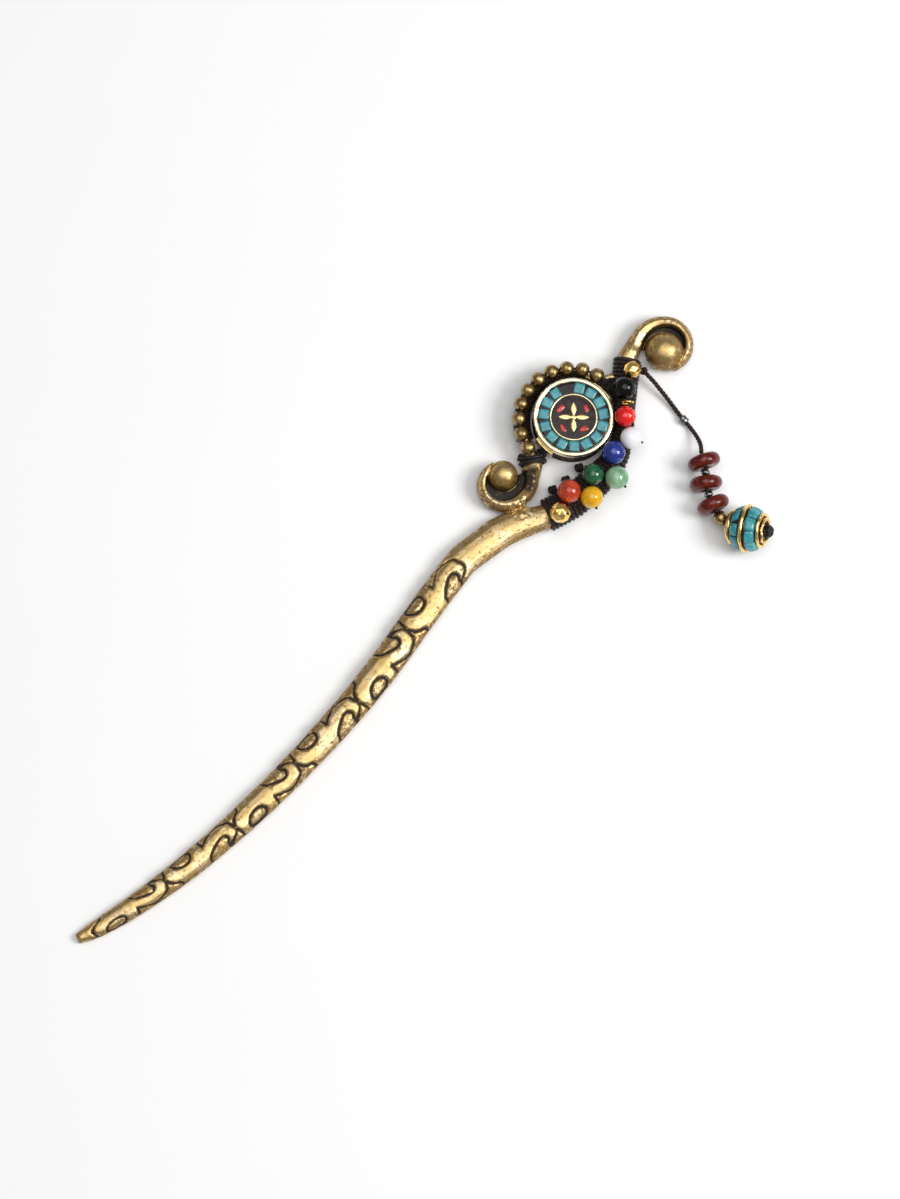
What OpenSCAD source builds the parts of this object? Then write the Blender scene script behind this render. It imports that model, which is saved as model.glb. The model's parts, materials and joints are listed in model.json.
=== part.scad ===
// Decorative hair pin: a curved brass prong that ends in two scrolls around a
// round inlaid medallion, bound with waxed cord, set with beads, with a beaded
// dangle on a loose cord.
//
// Frame: the medallion's axis is Z and its back face lies on z = 0.
// +X runs from the tip of the prong to the head, +Z is the decorated side.

/* [Prong] */
// Length from the tip to the root, where the prong starts to bend
shaft_length = 115; // [90:1:140]
// Width at the root
shaft_w = 6.9; // [5.5:0.1:8.5]
// Thickness at the root
shaft_t = 3.4; // [2.6:0.1:4.2]
// Width of the rounded tip
tip_w = 2.2; // [1.6:0.1:3]
// Thickness of the rounded tip
tip_t = 1.7; // [1.2:0.1:2.4]

/* [Head] */
// Width of the arm that carries the stone beads, at its widest
arm_w = 5.4; // [4:0.1:6.4]
// Width of that arm where it passes closest to the medallion
arm_neck_w = 3; // [2.4:0.1:3.8]
// Thickness of the arms
arm_t = 2.8; // [2.2:0.1:3.4]
// Width of the slim loop under the ring beads, at its narrowest
loop_w = 1.6; // [1.4:0.1:2.2]
// Thickness of the slim loop
loop_t = 2; // [1.6:0.1:2.6]
// Outer radius of both scrolls
scroll_r = 7.9; // [7:0.1:8.8]
// Diameter of the ball in the upper scroll
upper_ball_d = 8.3; // [6.8:0.1:9]
// Diameter of the ball in the lower scroll
lower_ball_d = 6.4; // [5:0.1:7.4]

/* [Binding] */
// Diameter of the waxed binding cord
bind_d = 0.85; // [0.6:0.05:1.1]
// Diameter of the thin cord around the slim loop
thin_bind_d = 0.6; // [0.4:0.05:0.8]
// Diameter of the sewing thread in the beads
thread_d = 0.5; // [0.3:0.05:0.6]
// Diameter of the small knots along the binding
knot_d = 1.6; // [1.2:0.1:2]

/* [Medallion] */
// Outer diameter
medallion_d = 17.2; // [14.3:0.1:20]
// Thickness, from the back face to the rim
medallion_h = 7; // [6:0.1:8.4]
// Width of the brass rim of a 17.2 mm medallion; scales with it
rim_w = 1; // [0.7:0.05:1.3]
// Outer diameter of the inner brass ring in a 17.2 mm medallion; scales with it
inner_ring_d = 10.3; // [9:0.1:11.4]
// Width of the inner brass ring
inner_ring_w = 0.45; // [0.3:0.05:0.7]
// Side of a square inlay tile in a 17.2 mm medallion; scales with it
tile_size = 2; // [1.5:0.05:2.2]
// Slots around the tile ring, one of them empty
tile_slots = 15; // [12:1:15]
// Diameter of the hole through the medallion, edge to edge
medallion_bore_d = 1.2; // [0.9:0.05:1.6]
// Diameter of the flat brass back plate of a 17.2 mm medallion; scales with it
back_plate_d = 14; // [10:0.5:15]

/* [Beads] */
// Factor on the stone and gold beads, which also scale with the medallion
stone_scale = 1; // [0.8:0.05:1]
// Diameter of the holes in the stone and ring beads
stone_bore_d = 0.9; // [0.8:0.05:1.2]
// Number of ring beads
ring_beads = 10; // [6:1:10]
// Diameter of a ring bead round a 17.2 mm medallion; scales with it
ring_bead_d = 3.1; // [2.4:0.1:3.2]

/* [Dangle] */
// Diameter of the dangle's cord
cord_d = 1; // [0.7:0.05:1.1]
// Diameter of the silver crimp bead
crimp_d = 2; // [1.8:0.1:2.4]
// Diameter of a wooden disc bead
disc_d = 7.1; // [6:0.1:7.2]
// Diameter of the small silver spacers crimped on the cord
spacer_d = 1.9; // [1.7:0.1:2.3]
// Diameter of the small brass bead
brass_bead_d = 3.1; // [2.6:0.1:3.4]
// Diameter of the holes in the beads on the cord
cord_bore_d = 1.3; // [1.2:0.05:1.5]
// Diameter of the mosaic ball over its tiles
ball_d = 10.2; // [8.5:0.1:10.4]
// Diameter of the hole through the mosaic ball
ball_bore_d = 2; // [1.6:0.1:2.4]
// Tiles in each of the two bands around the mosaic ball
ball_tiles = 9; // [7:1:11]

/* [Hidden] */
// Clearance between pieces that fit into or beside one another
gap = 0.05;
// Clearance between a limb of the casting and the winding around it
seat = 0.1;
// Clearance between the medallion and the bindings around it
eye_gap = 0.2;
med_r = medallion_d / 2;
// Scale of the inlay and of the beads: 1 for a 17.2 mm medallion
head_scale = medallion_d / 17.2;
rim_r = med_r - head_scale * rim_w;
inner_ring_r = head_scale * inner_ring_d / 2;
ring_bead = head_scale * ring_bead_d;
// The casting's flat back is held off the table by the binding below it
back_z = bind_d + seat;

// A point of the head: how far outside the medallion's edge, and at what angle
function around(off, ang) = [(med_r + off) * cos(ang), (med_r + off) * sin(ang)];

// Catmull-Rom interpolation of the rows of a list
function spline(p, i, t) =
    let (
        a = p[max(i - 1, 0)],
        b = p[i],
        c = p[i + 1],
        d = p[min(i + 2, len(p) - 1)]
    )
    0.5 * (2 * b + (c - a) * t + (2 * a - 5 * b + 4 * c - d) * t * t
        + (3 * b - a - 3 * c + d) * t * t * t);
// Rows from..to of a list, with n steps between each two
function smooth(p, from, to, n) = [
    for (i = [from:to - 1]) for (k = [0:n - 1]) spline(p, i, k / n),
    p[to]
];

// ---- Stations of the casting: [x, y, width, thickness, height of the back]

// The prong, as shares of its length from the root and offsets to the side
root_off = 29.4;
root_y = -5;
root_x = -(med_r + root_off);
function prong(along, side, w, t) = [
    root_x - along * shaft_length,
    root_y + side,
    tip_w + (shaft_w - tip_w) * w,
    tip_t + (shaft_t - tip_t) * t,
    back_z * (1 - along)
];
prong_rows = [
    prong(1, -0.9, 0, 0),
    prong(0.96, -2.3, 0.35, 0.3),
    prong(0.88, -4.3, 0.55, 0.55),
    prong(0.75, -6.3, 0.72, 0.75),
    prong(0.57, -7.2, 0.85, 0.9),
    prong(0.4, -6.5, 0.94, 1),
    prong(0.26, -4.9, 1, 1),
    prong(0.1, -1.7, 1, 1),
    prong(0, 0, 1, 1)
];

// The arm from the root round the medallion to the neck of the upper scroll
function arm(off, ang, w, t) =
    concat(around(off, ang), [w, arm_t + (shaft_t - arm_t) * t, back_z]);
arm_mid_w = (arm_neck_w + arm_w) / 2;
arm_rows = [
    arm(24, 189.5, shaft_w * 1.02, 1),
    arm(18.6, 194.6, shaft_w, 1),
    arm(12.8, 209.5, arm_w, 0.5),
    arm(8.8, 225, arm_w, 0.2),
    arm(5.3, 245, arm_w, 0),
    arm(3.6, 270, arm_mid_w, 0),
    arm(2.65, 296, arm_neck_w, 0),
    arm(2.65, 325, arm_neck_w, 0),
    arm(4.6, 347, arm_mid_w * 0.9, 0),
    arm(9.9, 365, arm_mid_w, 0)
];

// A scroll: a clockwise spiral round a ball, by the angle s that it has swept
recess = 0.45;
scroll_end_w = 2.2;
scroll_wind = [110, 270];
function scroll_out(s, ball_r) =
    let (k = min(1, max(0, (s - scroll_wind[0]) / (scroll_wind[1] - scroll_wind[0]))))
    ball_r + recess + (scroll_r - ball_r - recess) * (1 + cos(180 * k)) / 2;
function scroll_in(s, ball_r) = min(ball_r + recess, scroll_out(s, ball_r) - scroll_end_w);
function scroll_row(c, neck, s, ball_r) =
    let (
        r_out = scroll_out(s, ball_r),
        r_in = scroll_in(s, ball_r),
        r = (r_out + r_in) / 2
    )
    [c.x + r * cos(neck - s), c.y + r * sin(neck - s), r_out - r_in, shaft_t, back_z];
scroll_step = 12;
scroll_last = 264;
function scroll_rows(c, neck, s0, ball_r) =
    [for (s = [s0:scroll_step:scroll_last]) scroll_row(c, neck, s, ball_r)];

upper_ball = around(16.4, -6.85);
lower_ball = around(10.5, 174.2);
upper_neck = 150;
lower_neck = -15;

// The slim loop from the neck, over the top of the medallion, to the lower scroll
ring_center = [-0.4, 0.1];
loop_r = med_r + eye_gap + thin_bind_d + seat + loop_w / 2 + norm(ring_center);
function on_loop(ang, r) = ring_center + r * [cos(ang), sin(ang)];
loop_step = 12;
loop_first = 14;
loop_last = 158;
// A row of the loop: its outer edge follows the ring beads, its inner edge the medallion
function loop_row(ang) =
    let (
        edge = on_loop(ang, loop_r + loop_w / 2),
        inner = med_r + eye_gap + thin_bind_d + seat,
        w = norm(edge) - inner
    )
    concat(edge * (1 - w / 2 / norm(edge)), [w, loop_t, back_z]);
side_rows = concat(
    [concat(around(5.8, 1), [loop_w * 1.2, loop_t, back_z])],
    [for (a = [loop_first:loop_step:loop_last]) loop_row(a)],
    [
        concat(around(2.2, 167), [loop_w * 1.5, loop_t, back_z]),
        concat(around(2.95, 176.5), [arm_mid_w * 0.72, loop_t * 1.1, back_z]),
        concat(around(3.8, 183.5), [arm_mid_w, arm_t, back_z])
    ],
    scroll_rows(lower_ball, lower_neck, 33, lower_ball_d / 2)
);

// Direction of travel at row i of a list of rows
function heading(p, i) =
    let (
        a = p[max(i - 1, 0)],
        b = p[min(i + 1, len(p) - 1)]
    )
    atan2(b.y - a.y, b.x - a.x);

// The D-shaped section of row i: flat back, rounded edges, domed front, grown by g all
// round, as points in space
edge_share = 0.3;
function section(p, i, g) =
    let (
        row = p[i],
        w = row[2],
        t = row[3],
        dir = heading(p, i),
        outline = [
            [-w * 0.4, -g], [w * 0.4, -g],
            for (a = [0:30:180]) [
                (w / 2 + g) * cos(a),
                t * edge_share + (t * (1 - edge_share) + g) * pow(sin(a), 0.75)
            ]
        ]
    )
    [for (q = outline) [row.x + q.x * sin(dir), row.y - q.x * cos(dir), row[4] + q.y]];

// A limb swept through the rows from..to, grown by g all round
module limb(p, from, to, g = 0) {
    for (i = [from:to - 1]) {
        points = concat(section(p, i, g), section(p, i + 1, g));
        hull() polyhedron(points, [for (k = [2:len(points) - 1]) [0, 1, k]]);
    }
}

steps = 3;
prong_path = smooth(prong_rows, 0, len(prong_rows) - 1, steps);
arm_path = smooth(arm_rows, 0, len(arm_rows) - 1, steps);
main_rows = concat(
    prong_path,
    [for (i = [steps - 1:len(arm_path) - 1]) arm_path[i]],
    scroll_rows(upper_ball, upper_neck, 42, upper_ball_d / 2)
);

// Rows of the main limb where its two bindings start and end
arm_base = len(prong_path) - steps + 1;
wrap_from = arm_base + 2 * steps;
wrap_split = arm_base + 7 * steps;
wrap_to = arm_base + 9 * steps;
// Rows of the side limb under the loop's binding and under the collar
loop_wrap = [2, 13];
collar_wrap = [15, 16];

// ---- The casting

module scroll_ball(c, d) {
    lift = 2.1;
    intersection() {
        translate([c.x, c.y, back_z + lift]) sphere(d = d, $fn = 32);
        translate([c.x - d, c.y - d, back_z]) cube(2 * d);
    }
}

module frame() {
    bridge_t = 1.8;
    bridge_ang = -108;
    bridge_r = scroll_r - 1.2;
    bridge_start = [lower_ball.x + bridge_r * cos(bridge_ang), lower_ball.y + bridge_r * sin(bridge_ang)];
    root = main_rows[wrap_from - 1];
    bridge_end = [root.x - 0.3, root.y + 1.5];
    color("darkgoldenrod") {
        limb(main_rows, 0, len(main_rows) - 1);
        limb(side_rows, 0, len(side_rows) - 1);
        scroll_ball(upper_ball, upper_ball_d);
        scroll_ball(lower_ball, lower_ball_d);
        // Solder bridge between the lower scroll and the arm, short of the binding
        hull() {
            for (q = [bridge_start, bridge_end])
                translate([q.x, q.y, back_z]) cylinder(d = 2.6, h = bridge_t, $fn = 16);
        }
    }
}

// ---- The bindings, each the outer shape of its winding: a sleeve along the rows from..to

module binding(p, from, to, d) {
    ring = len(section(p, from, 0));
    last = to - from;
    function outer(i, k) = i * 2 * ring + k % ring;
    function inner(i, k) = outer(i, k) + ring;
    polyhedron(
        [for (i = [from:to]) for (g = [seat + d, seat]) each section(p, i, g)],
        concat(
            [for (k = [0:ring - 1]) [inner(0, k), inner(0, k + 1), outer(0, k + 1), outer(0, k)]],
            [for (k = [0:ring - 1]) [outer(last, k), outer(last, k + 1), inner(last, k + 1), inner(last, k)]],
            [for (i = [0:last - 1]) for (k = [0:ring - 1]) for (f = [
                [outer(i, k), outer(i, k + 1), outer(i + 1, k + 1)],
                [outer(i, k), outer(i + 1, k + 1), outer(i + 1, k)],
                [inner(i, k), inner(i + 1, k + 1), inner(i, k + 1)],
                [inner(i, k), inner(i + 1, k), inner(i + 1, k + 1)]
            ]) f]
        )
    );
}

module binding_lower() {
    color("#33221e") binding(main_rows, wrap_from, wrap_split, bind_d);
}

module binding_upper() {
    color("#33221e") difference() {
        binding(main_rows, wrap_split, wrap_to, bind_d);
        limb(side_rows, 0, 3, gap);
    }
}

module loop_binding() {
    color("#33221e") binding(side_rows, loop_wrap[0], loop_wrap[1], thin_bind_d);
}

module collar_binding() {
    color("#33221e") binding(side_rows, collar_wrap[0], collar_wrap[1], bind_d);
}

// Small knots tied against a winding: its row and the side they are on
module knot_beside(p, i, side) {
    row = p[i];
    dir = heading(p, i);
    r = side * (row[2] / 2 + seat + bind_d + gap + knot_d / 2);
    translate([row.x - r * sin(dir), row.y + r * cos(dir), row[4] + row[3] * edge_share])
        sphere(d = knot_d);
}

module binding_knots() {
    color("#1e1412") {
        knot_beside(main_rows, wrap_from + 2, 1);
        knot_beside(main_rows, wrap_from + 4, 1);
        knot_beside(main_rows, wrap_from + 6, 1);
    }
}

// ---- The medallion

core_r = med_r - 0.25;
back_plate_t = 0.5;
rim_h = 1.5;
inlay_t = 0.8;
inlay_top = medallion_h - 0.15;
resin_top = medallion_h - 0.35;
tile_r = (inner_ring_r + rim_r) / 2;
chip_r = 3.3 * head_scale;
plate_d = back_plate_d * head_scale;
bore_z = medallion_h / 2;

// One square tile in each slot but the last
module tiles(grow = 0) {
    first = 34;
    side = tile_size * head_scale;
    for (i = [0:tile_slots - 2])
        rotate([0, 0, first - i * 360 / tile_slots])
            translate([tile_r, 0, inlay_top - inlay_t / 2])
                rotate([0, 0, 6 * sin(130 * i)])
                    cube([side + grow, side + grow, inlay_t + grow], center = true);
}

module chips(grow = 0) {
    chip = head_scale * [2.1, 1.15];
    for (a = [-12, 102, 181, 265])
        rotate([0, 0, a])
            translate([chip_r, 0, inlay_top - inlay_t / 2])
                rotate([0, 0, 75])
                    cube([chip.x + grow, chip.y + grow, inlay_t + grow], center = true);
}

// Four pointed petals round a small diamond
module rosette_outline(grow = 0) {
    petal_at = 1.75 * head_scale;
    arc_r = 2 * head_scale;
    arc_at = 1.4 * head_scale;
    diamond = 1.1 * head_scale;
    for (a = [45:90:315]) rotate(a) translate([petal_at, 0]) intersection() {
        translate([0, arc_at]) circle(r = arc_r + grow, $fn = 48);
        translate([0, -arc_at]) circle(r = arc_r + grow, $fn = 48);
    }
    square(diamond + 2 * grow, center = true);
}

module medallion_core() {
    color("#3c2c30") difference() {
        union() {
            translate([0, 0, back_plate_t + gap])
                cylinder(r = core_r, h = medallion_h - rim_h - back_plate_t - 2 * gap, $fn = 96);
            cylinder(r = rim_r - gap, h = resin_top, $fn = 96);
        }
        translate([0, 0, -1]) cylinder(d = plate_d + 2 * gap, h = back_plate_t + gap + 1, $fn = 96);
        translate([-medallion_d, 0, bore_z]) rotate([0, 90, 0])
            cylinder(d = medallion_bore_d, h = 2 * medallion_d, $fn = 32);
        translate([0, 0, inlay_top - inlay_t - gap]) difference() {
            cylinder(r = inner_ring_r + gap, h = 2, $fn = 96);
            translate([0, 0, -1]) cylinder(r = inner_ring_r - inner_ring_w - gap, h = 4, $fn = 96);
        }
        tiles(2 * gap);
        chips(2 * gap);
        translate([0, 0, inlay_top - inlay_t - gap]) linear_extrude(2) rosette_outline(gap);
    }
}

module medallion_rim() {
    color("#c8aa5a") translate([0, 0, medallion_h - rim_h]) difference() {
        cylinder(d = medallion_d, h = rim_h, $fn = 96);
        translate([0, 0, -1]) cylinder(r = rim_r, h = rim_h + 2, $fn = 96);
    }
}

module medallion_inner_ring() {
    color("#c8aa5a") translate([0, 0, inlay_top - inlay_t]) difference() {
        cylinder(r = inner_ring_r, h = inlay_t, $fn = 96);
        translate([0, 0, -1]) cylinder(r = inner_ring_r - inner_ring_w, h = inlay_t + 2, $fn = 96);
    }
}

module turquoise_tiles() {
    color("#33a0a8") tiles();
}

module coral_chips() {
    color("#a5231e") chips();
}

module rosette_motif() {
    color("#d7a945") translate([0, 0, inlay_top - inlay_t]) linear_extrude(inlay_t) rosette_outline();
}

module medallion_back_plate() {
    color("#8c7440") cylinder(d = plate_d, h = back_plate_t, $fn = 96);
}

// A curved plate on the side wall at each end of the medallion's hole
module end_plate() {
    plate_t = 0.45;
    plate_w = 4.6;
    plate_h = 3.6;
    intersection() {
        difference() {
            cylinder(r = med_r + plate_t, h = medallion_h, $fn = 96);
            translate([0, 0, -1]) cylinder(r = med_r - 0.2, h = medallion_h + 2, $fn = 96);
            translate([0, 0, bore_z]) rotate([0, 90, 0])
                cylinder(d = medallion_bore_d, h = medallion_d, $fn = 32);
        }
        translate([0, -plate_w / 2, bore_z - plate_h / 2]) cube([medallion_d, plate_w, plate_h]);
    }
}

module end_plate_left() {
    color("#b9964a") rotate([0, 0, 180]) end_plate();
}

module end_plate_right() {
    color("#b9964a") end_plate();
}

module medallion_cord() {
    reach = med_r + 0.6;
    color("#1e1412") translate([-reach, 0, bore_z]) rotate([0, 90, 0])
        cylinder(d = medallion_bore_d - 0.3, h = 2 * reach, $fn = 24);
}

module macrame_knot() {
    color("#1e1412") difference() {
        translate([med_r + 1.9, 0, bore_z]) sphere(d = 2.4);
        limb(main_rows, wrap_split - 1, wrap_to, seat + bind_d + gap);
        limb(side_rows, 0, 3, gap);
    }
}

// ---- Stone and gold beads on the arm: how far out, angle, diameter, lift, hole's direction

bed_z = back_z + arm_t + seat + bind_d + gap;
stones = [
    ["gold_bead_upper", 7.8, -5, 3.8, 0, -20, "gold"],
    ["onyx_bead", 3.95, -14.4, 4.9, 0, 100, "#141416"],
    ["red_bead", 2.3, -44.8, 4.5, 1, 92, "#eb1414"],
    ["white_bead", 4.4, -65, 4.8, 0, -65, "#f0ebf0"],
    ["lapis_bead", 2.85, -87.5, 5, 0.1, -70, "#1e3296"],
    ["dark_green_bead", 4.55, -117, 4.6, 0, -94, "#195a2d"],
    ["light_green_bead", 7.35, -100, 5.05, -0.4, -90, "#82b991"],
    ["carnelian_bead", 7.7, -138.6, 5.05, 0, -125, "#c33214"],
    ["amber_bead", 9.3, -122.8, 4.8, 0, -110, "#dca00f"],
    ["gold_bead_lower", 12.5, -142.9, 4.5, 0.2, -70, "gold"]
];

function stone_d(s) = s[3] * stone_scale * head_scale;
function stone_at(s) =
    concat(around(s[1] * head_scale, s[2]), [bed_z + stone_d(s) / 2 + s[4] * head_scale]);

// A round bead with its hole along Z
module bead(d, bore) {
    difference() {
        sphere(d = d);
        cylinder(d = bore, h = 2 * d, center = true, $fn = 32);
    }
}

module stone(s) {
    color(s[6]) translate(stone_at(s)) rotate([0, 90, s[5]]) bead(stone_d(s), stone_bore_d);
}

// A thin brass ring between the black and the red bead
module spacer_ring() {
    ring_d = 2.8 * head_scale;
    ring_t = 0.4 * head_scale;
    lift = 0.8 * head_scale;
    color("gold") translate(concat(around(3.3 * head_scale, -29), [bed_z + ring_d / 2 + lift]))
        rotate([90, 0, -45]) rotate_extrude() translate([(ring_d - ring_t) / 2, 0]) circle(d = ring_t, $fn = 24);
}

// A tube through points, its sections turned from the direction ref
function unit(v) = v / norm(v);
function tube_points(p, d, sides, ref) = [
    for (i = [0:len(p) - 1])
        let (
            before = i > 0 ? unit(p[i] - p[i - 1]) : [0, 0, 0],
            after = i < len(p) - 1 ? unit(p[i + 1] - p[i]) : [0, 0, 0],
            along = unit(before + after),
            side = unit(cross(along, ref)),
            up = cross(side, along)
        )
        for (k = [0:sides - 1])
            p[i] + d / 2 * (side * cos(360 * k / sides) + up * sin(360 * k / sides))
];
module tube(p, d, sides, ref) {
    last = (len(p) - 1) * sides;
    polyhedron(
        tube_points(p, d, sides, ref),
        concat(
            [[for (k = [0:sides - 1]) k]],
            [for (i = [0:len(p) - 2]) for (k = [0:sides - 1])
                for (f = [
                    [i * sides + k, (i + 1) * sides + k, i * sides + (k + 1) % sides],
                    [i * sides + (k + 1) % sides, (i + 1) * sides + k, (i + 1) * sides + (k + 1) % sides]
                ]) f],
            [[for (k = [0:sides - 1]) last + sides - 1 - k]]
        )
    );
}

// The stitch of a bead: through its hole and down round its underside to the binding
module stitch(s) {
    r = stone_d(s) / 2 + thread_d / 2 + gap;
    reach = 48;
    n = 4;
    out = [cos(s[5]), sin(s[5]), 0];
    c = stone_at(s);
    path = [
        for (k = [n:-1:0]) c - r * (out * cos(reach * k / n) + [0, 0, sin(reach * k / n)]),
        for (k = [0:n]) c + r * (out * cos(reach * k / n) - [0, 0, sin(reach * k / n)])
    ];
    tube(path, thread_d, 6, cross(out, [0, 0, 1]));
}

module bead_stitches() {
    color("#1e1412") for (s = stones) stitch(s);
}

// ---- Ring beads round the outside of the loop

ring_r = loop_r + 0.45;
ring_z = back_z + loop_t + seat + thin_bind_d + gap + ring_bead / 2;
ring_first = 169;
ring_pitch = 2 * asin(ring_bead * 1.065 / 2 / ring_r);
function ring_angle(i) = ring_first - (i - 1) * ring_pitch;

module ring_bead(i) {
    color("#8a6a30") translate(concat(on_loop(ring_angle(i), ring_r), [ring_z]))
        rotate([90, 0, ring_angle(i)]) bead(ring_bead, stone_bore_d);
}

module ring_bead_thread() {
    spare = 6;
    color("#1e1412") translate(concat(ring_center, [ring_z]))
        rotate([0, 0, ring_angle(ring_beads) - spare])
            rotate_extrude(angle = ring_first - ring_angle(ring_beads) + 2 * spare, $fn = 96)
                translate([ring_r, 0]) circle(d = thread_d, $fn = 24);
}

// ---- The dangle. Its cord leaves a knot on the binding, lies down to the table, then
// rises through the beads; each bead sits on the two route points of its holes.

dangle_knot_d = 1.6;
knot_row = main_rows[wrap_to - 1];
knot_dir = heading(main_rows, wrap_to - 1);
knot_out = knot_row[2] / 2 + seat + bind_d + 0.61;
knot_back = 0.77;
knot_at = [
    knot_row.x + knot_out * sin(knot_dir) - knot_back * cos(knot_dir),
    knot_row.y - knot_out * cos(knot_dir) - knot_back * sin(knot_dir),
    back_z + 2.25
];
// A point of the dangle, given from below the knot on the table
function hung(x, y, z) = [knot_at.x + x, knot_at.y + y, z];
crimp_at = hung(-0.9, -13.3, 1);
upper_route = [
    hung(0, -0.85, knot_at.z),
    hung(0, -3.1, knot_at.z - 0.3),
    hung(-0.1, -5.1, 2.3),
    hung(-0.2, -7.1, 1.7),
    hung(-0.4, -9.1, 1.2),
    hung(-0.7, -11.4, 1),
    hung(-0.8, -12.2, 1)
];
disc_route = [
    [hung(-4.2, -21.6, 3.6), hung(-5.6, -24.3, 3.6)],
    [hung(-7.1, -25.4, 3.6), hung(-8.9, -27.8, 3.6)],
    [hung(-9.6, -29.5, 3.6), hung(-10.7, -32.3, 3.6)]
];
brass_route = [hung(-10.9, -32.6, 3.6), hung(-11.2, -35.5, 3.5)];
ball_route = [hung(-10.7, -37, 3.6), hung(-7.1, -42.6, 6.4)];
lower_route = concat(
    [
        hung(-1, -14.4, 1),
        hung(-1.3, -16.3, 1.2),
        hung(-1.9, -18.3, 2.1),
        hung(-2.8, -20, 3)
    ],
    disc_route[0],
    disc_route[1],
    disc_route[2],
    brass_route,
    ball_route
);

// Places its children with their Z axis along a pair of route points
module on_cord(pair) {
    v = pair[1] - pair[0];
    translate((pair[0] + pair[1]) / 2)
        rotate([0, acos(v.z / norm(v)), atan2(v.y, v.x)]) children();
}

module cord_bore(d) {
    cylinder(d = d, h = 2 * ball_d, center = true, $fn = 32);
}

module dangle_knot() {
    color("#1e1412") translate(knot_at) sphere(d = dangle_knot_d);
}

module dangle_cord_upper() {
    color("#2a1c18") tube(upper_route, cord_d, 8, [0, 0, 1]);
}

module dangle_cord_lower() {
    color("#2a1c18") tube(lower_route, cord_d, 8, [0, 0, 1]);
}

module crimp_bead() {
    color("silver") translate(crimp_at) sphere(d = crimp_d);
}

disc_t = 2.9;
module disc_bead(i) {
    color("#6e1e19") on_cord(disc_route[i - 1]) difference() {
        rotate_extrude($fn = 64) {
            translate([disc_d / 2 - disc_t / 2, 0]) circle(d = disc_t, $fn = 48);
            translate([0, -disc_t / 2]) square([disc_d / 2 - disc_t / 2, disc_t]);
        }
        cord_bore(cord_bore_d);
    }
}

spacer_t = 1;
module spacer_bead(i) {
    color("silver") on_cord([disc_route[i - 1][1], disc_route[i][0]]) difference() {
        intersection() {
            sphere(d = spacer_d);
            cube([spacer_d, spacer_d, spacer_t], center = true);
        }
        cord_bore(cord_d + 2 * gap);
    }
}

module brass_bead() {
    color("#8a6a30") on_cord(brass_route) bead(brass_bead_d, cord_bore_d);
}

wire_d = 0.7;
ball_r = ball_d / 2;
mastic_r = ball_r - gap - wire_d;
ball_half = 0.696 * ball_r;
ball_tile_r = ball_r - 0.15;

module mosaic_ball_core() {
    color("#1c1616") on_cord(ball_route) difference() {
        intersection() {
            sphere(r = mastic_r);
            cube([ball_d, ball_d, 2 * ball_half], center = true);
        }
        cord_bore(ball_bore_d);
    }
}

// Tiles in two bands, wedges of a shell with a joint of one width between them
module mosaic_ball_tiles() {
    band_mid = 0.343 * ball_r;
    band_h = 0.373 * ball_r;
    joint = 0.35;
    half = 180 / ball_tiles;
    color("#33a0a8") on_cord(ball_route) intersection() {
        difference() {
            sphere(r = ball_tile_r);
            sphere(r = mastic_r + gap);
        }
        union() for (side = [-1, 1]) for (i = [0:ball_tiles - 1])
            rotate([0, 0, (i + side / 4) * 360 / ball_tiles])
                translate([joint / 2 / sin(half), 0, side * band_mid - band_h / 2])
                    linear_extrude(band_h)
                        polygon([[0, 0], ball_d * [cos(half), -sin(half)], ball_d * [cos(half), sin(half)]]);
    }
}

module wire_ring(r, z) {
    translate([0, 0, z]) rotate_extrude($fn = 64) translate([r, 0]) circle(d = wire_d, $fn = 24);
}

module mosaic_ball_bands() {
    wire_r = mastic_r + gap + wire_d / 2;
    color("gold") on_cord(ball_route) {
        wire_ring(wire_r, 0);
        for (side = [-1, 1]) {
            wire_ring(wire_r * sin(45), side * wire_r * cos(45));
            wire_ring(wire_r * sin(45) - 0.216 * ball_r, side * (ball_half + gap + wire_d / 2));
        }
    }
}

module end_knot() {
    knot_t = 1.5;
    knot_r = 0.75;
    color("#141416") on_cord(ball_route)
        translate([0, 0, norm(ball_route[1] - ball_route[0]) / 2 + gap + knot_t / 2]) {
            rotate_extrude($fn = 48) translate([knot_r, 0]) circle(d = knot_t, $fn = 32);
            cylinder(r = knot_r, h = knot_t, center = true, $fn = 48);
        }
}

frame();
binding_lower();
binding_upper();
loop_binding();
collar_binding();
binding_knots();
macrame_knot();
medallion_core();
medallion_rim();
medallion_inner_ring();
turquoise_tiles();
coral_chips();
rosette_motif();
medallion_back_plate();
end_plate_left();
end_plate_right();
medallion_cord();
spacer_ring();
bead_stitches();
ring_bead_thread();
for (s = stones) stone(s);
for (i = [1:ring_beads]) ring_bead(i);
dangle_knot();
dangle_cord_upper();
crimp_bead();
dangle_cord_lower();
for (i = [1:3]) disc_bead(i);
for (i = [1:2]) spacer_bead(i);
brass_bead();
mosaic_ball_core();
mosaic_ball_tiles();
mosaic_ball_bands();
end_knot();
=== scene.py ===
"""Looks of a decorative hair pin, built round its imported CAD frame.

Sizes are millimetres in the row frame until a mesh is made; meshes are in metres.
"""

import json
import math

import bpy
import numpy as np
from mathutils import Matrix, Vector, noise


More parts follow.
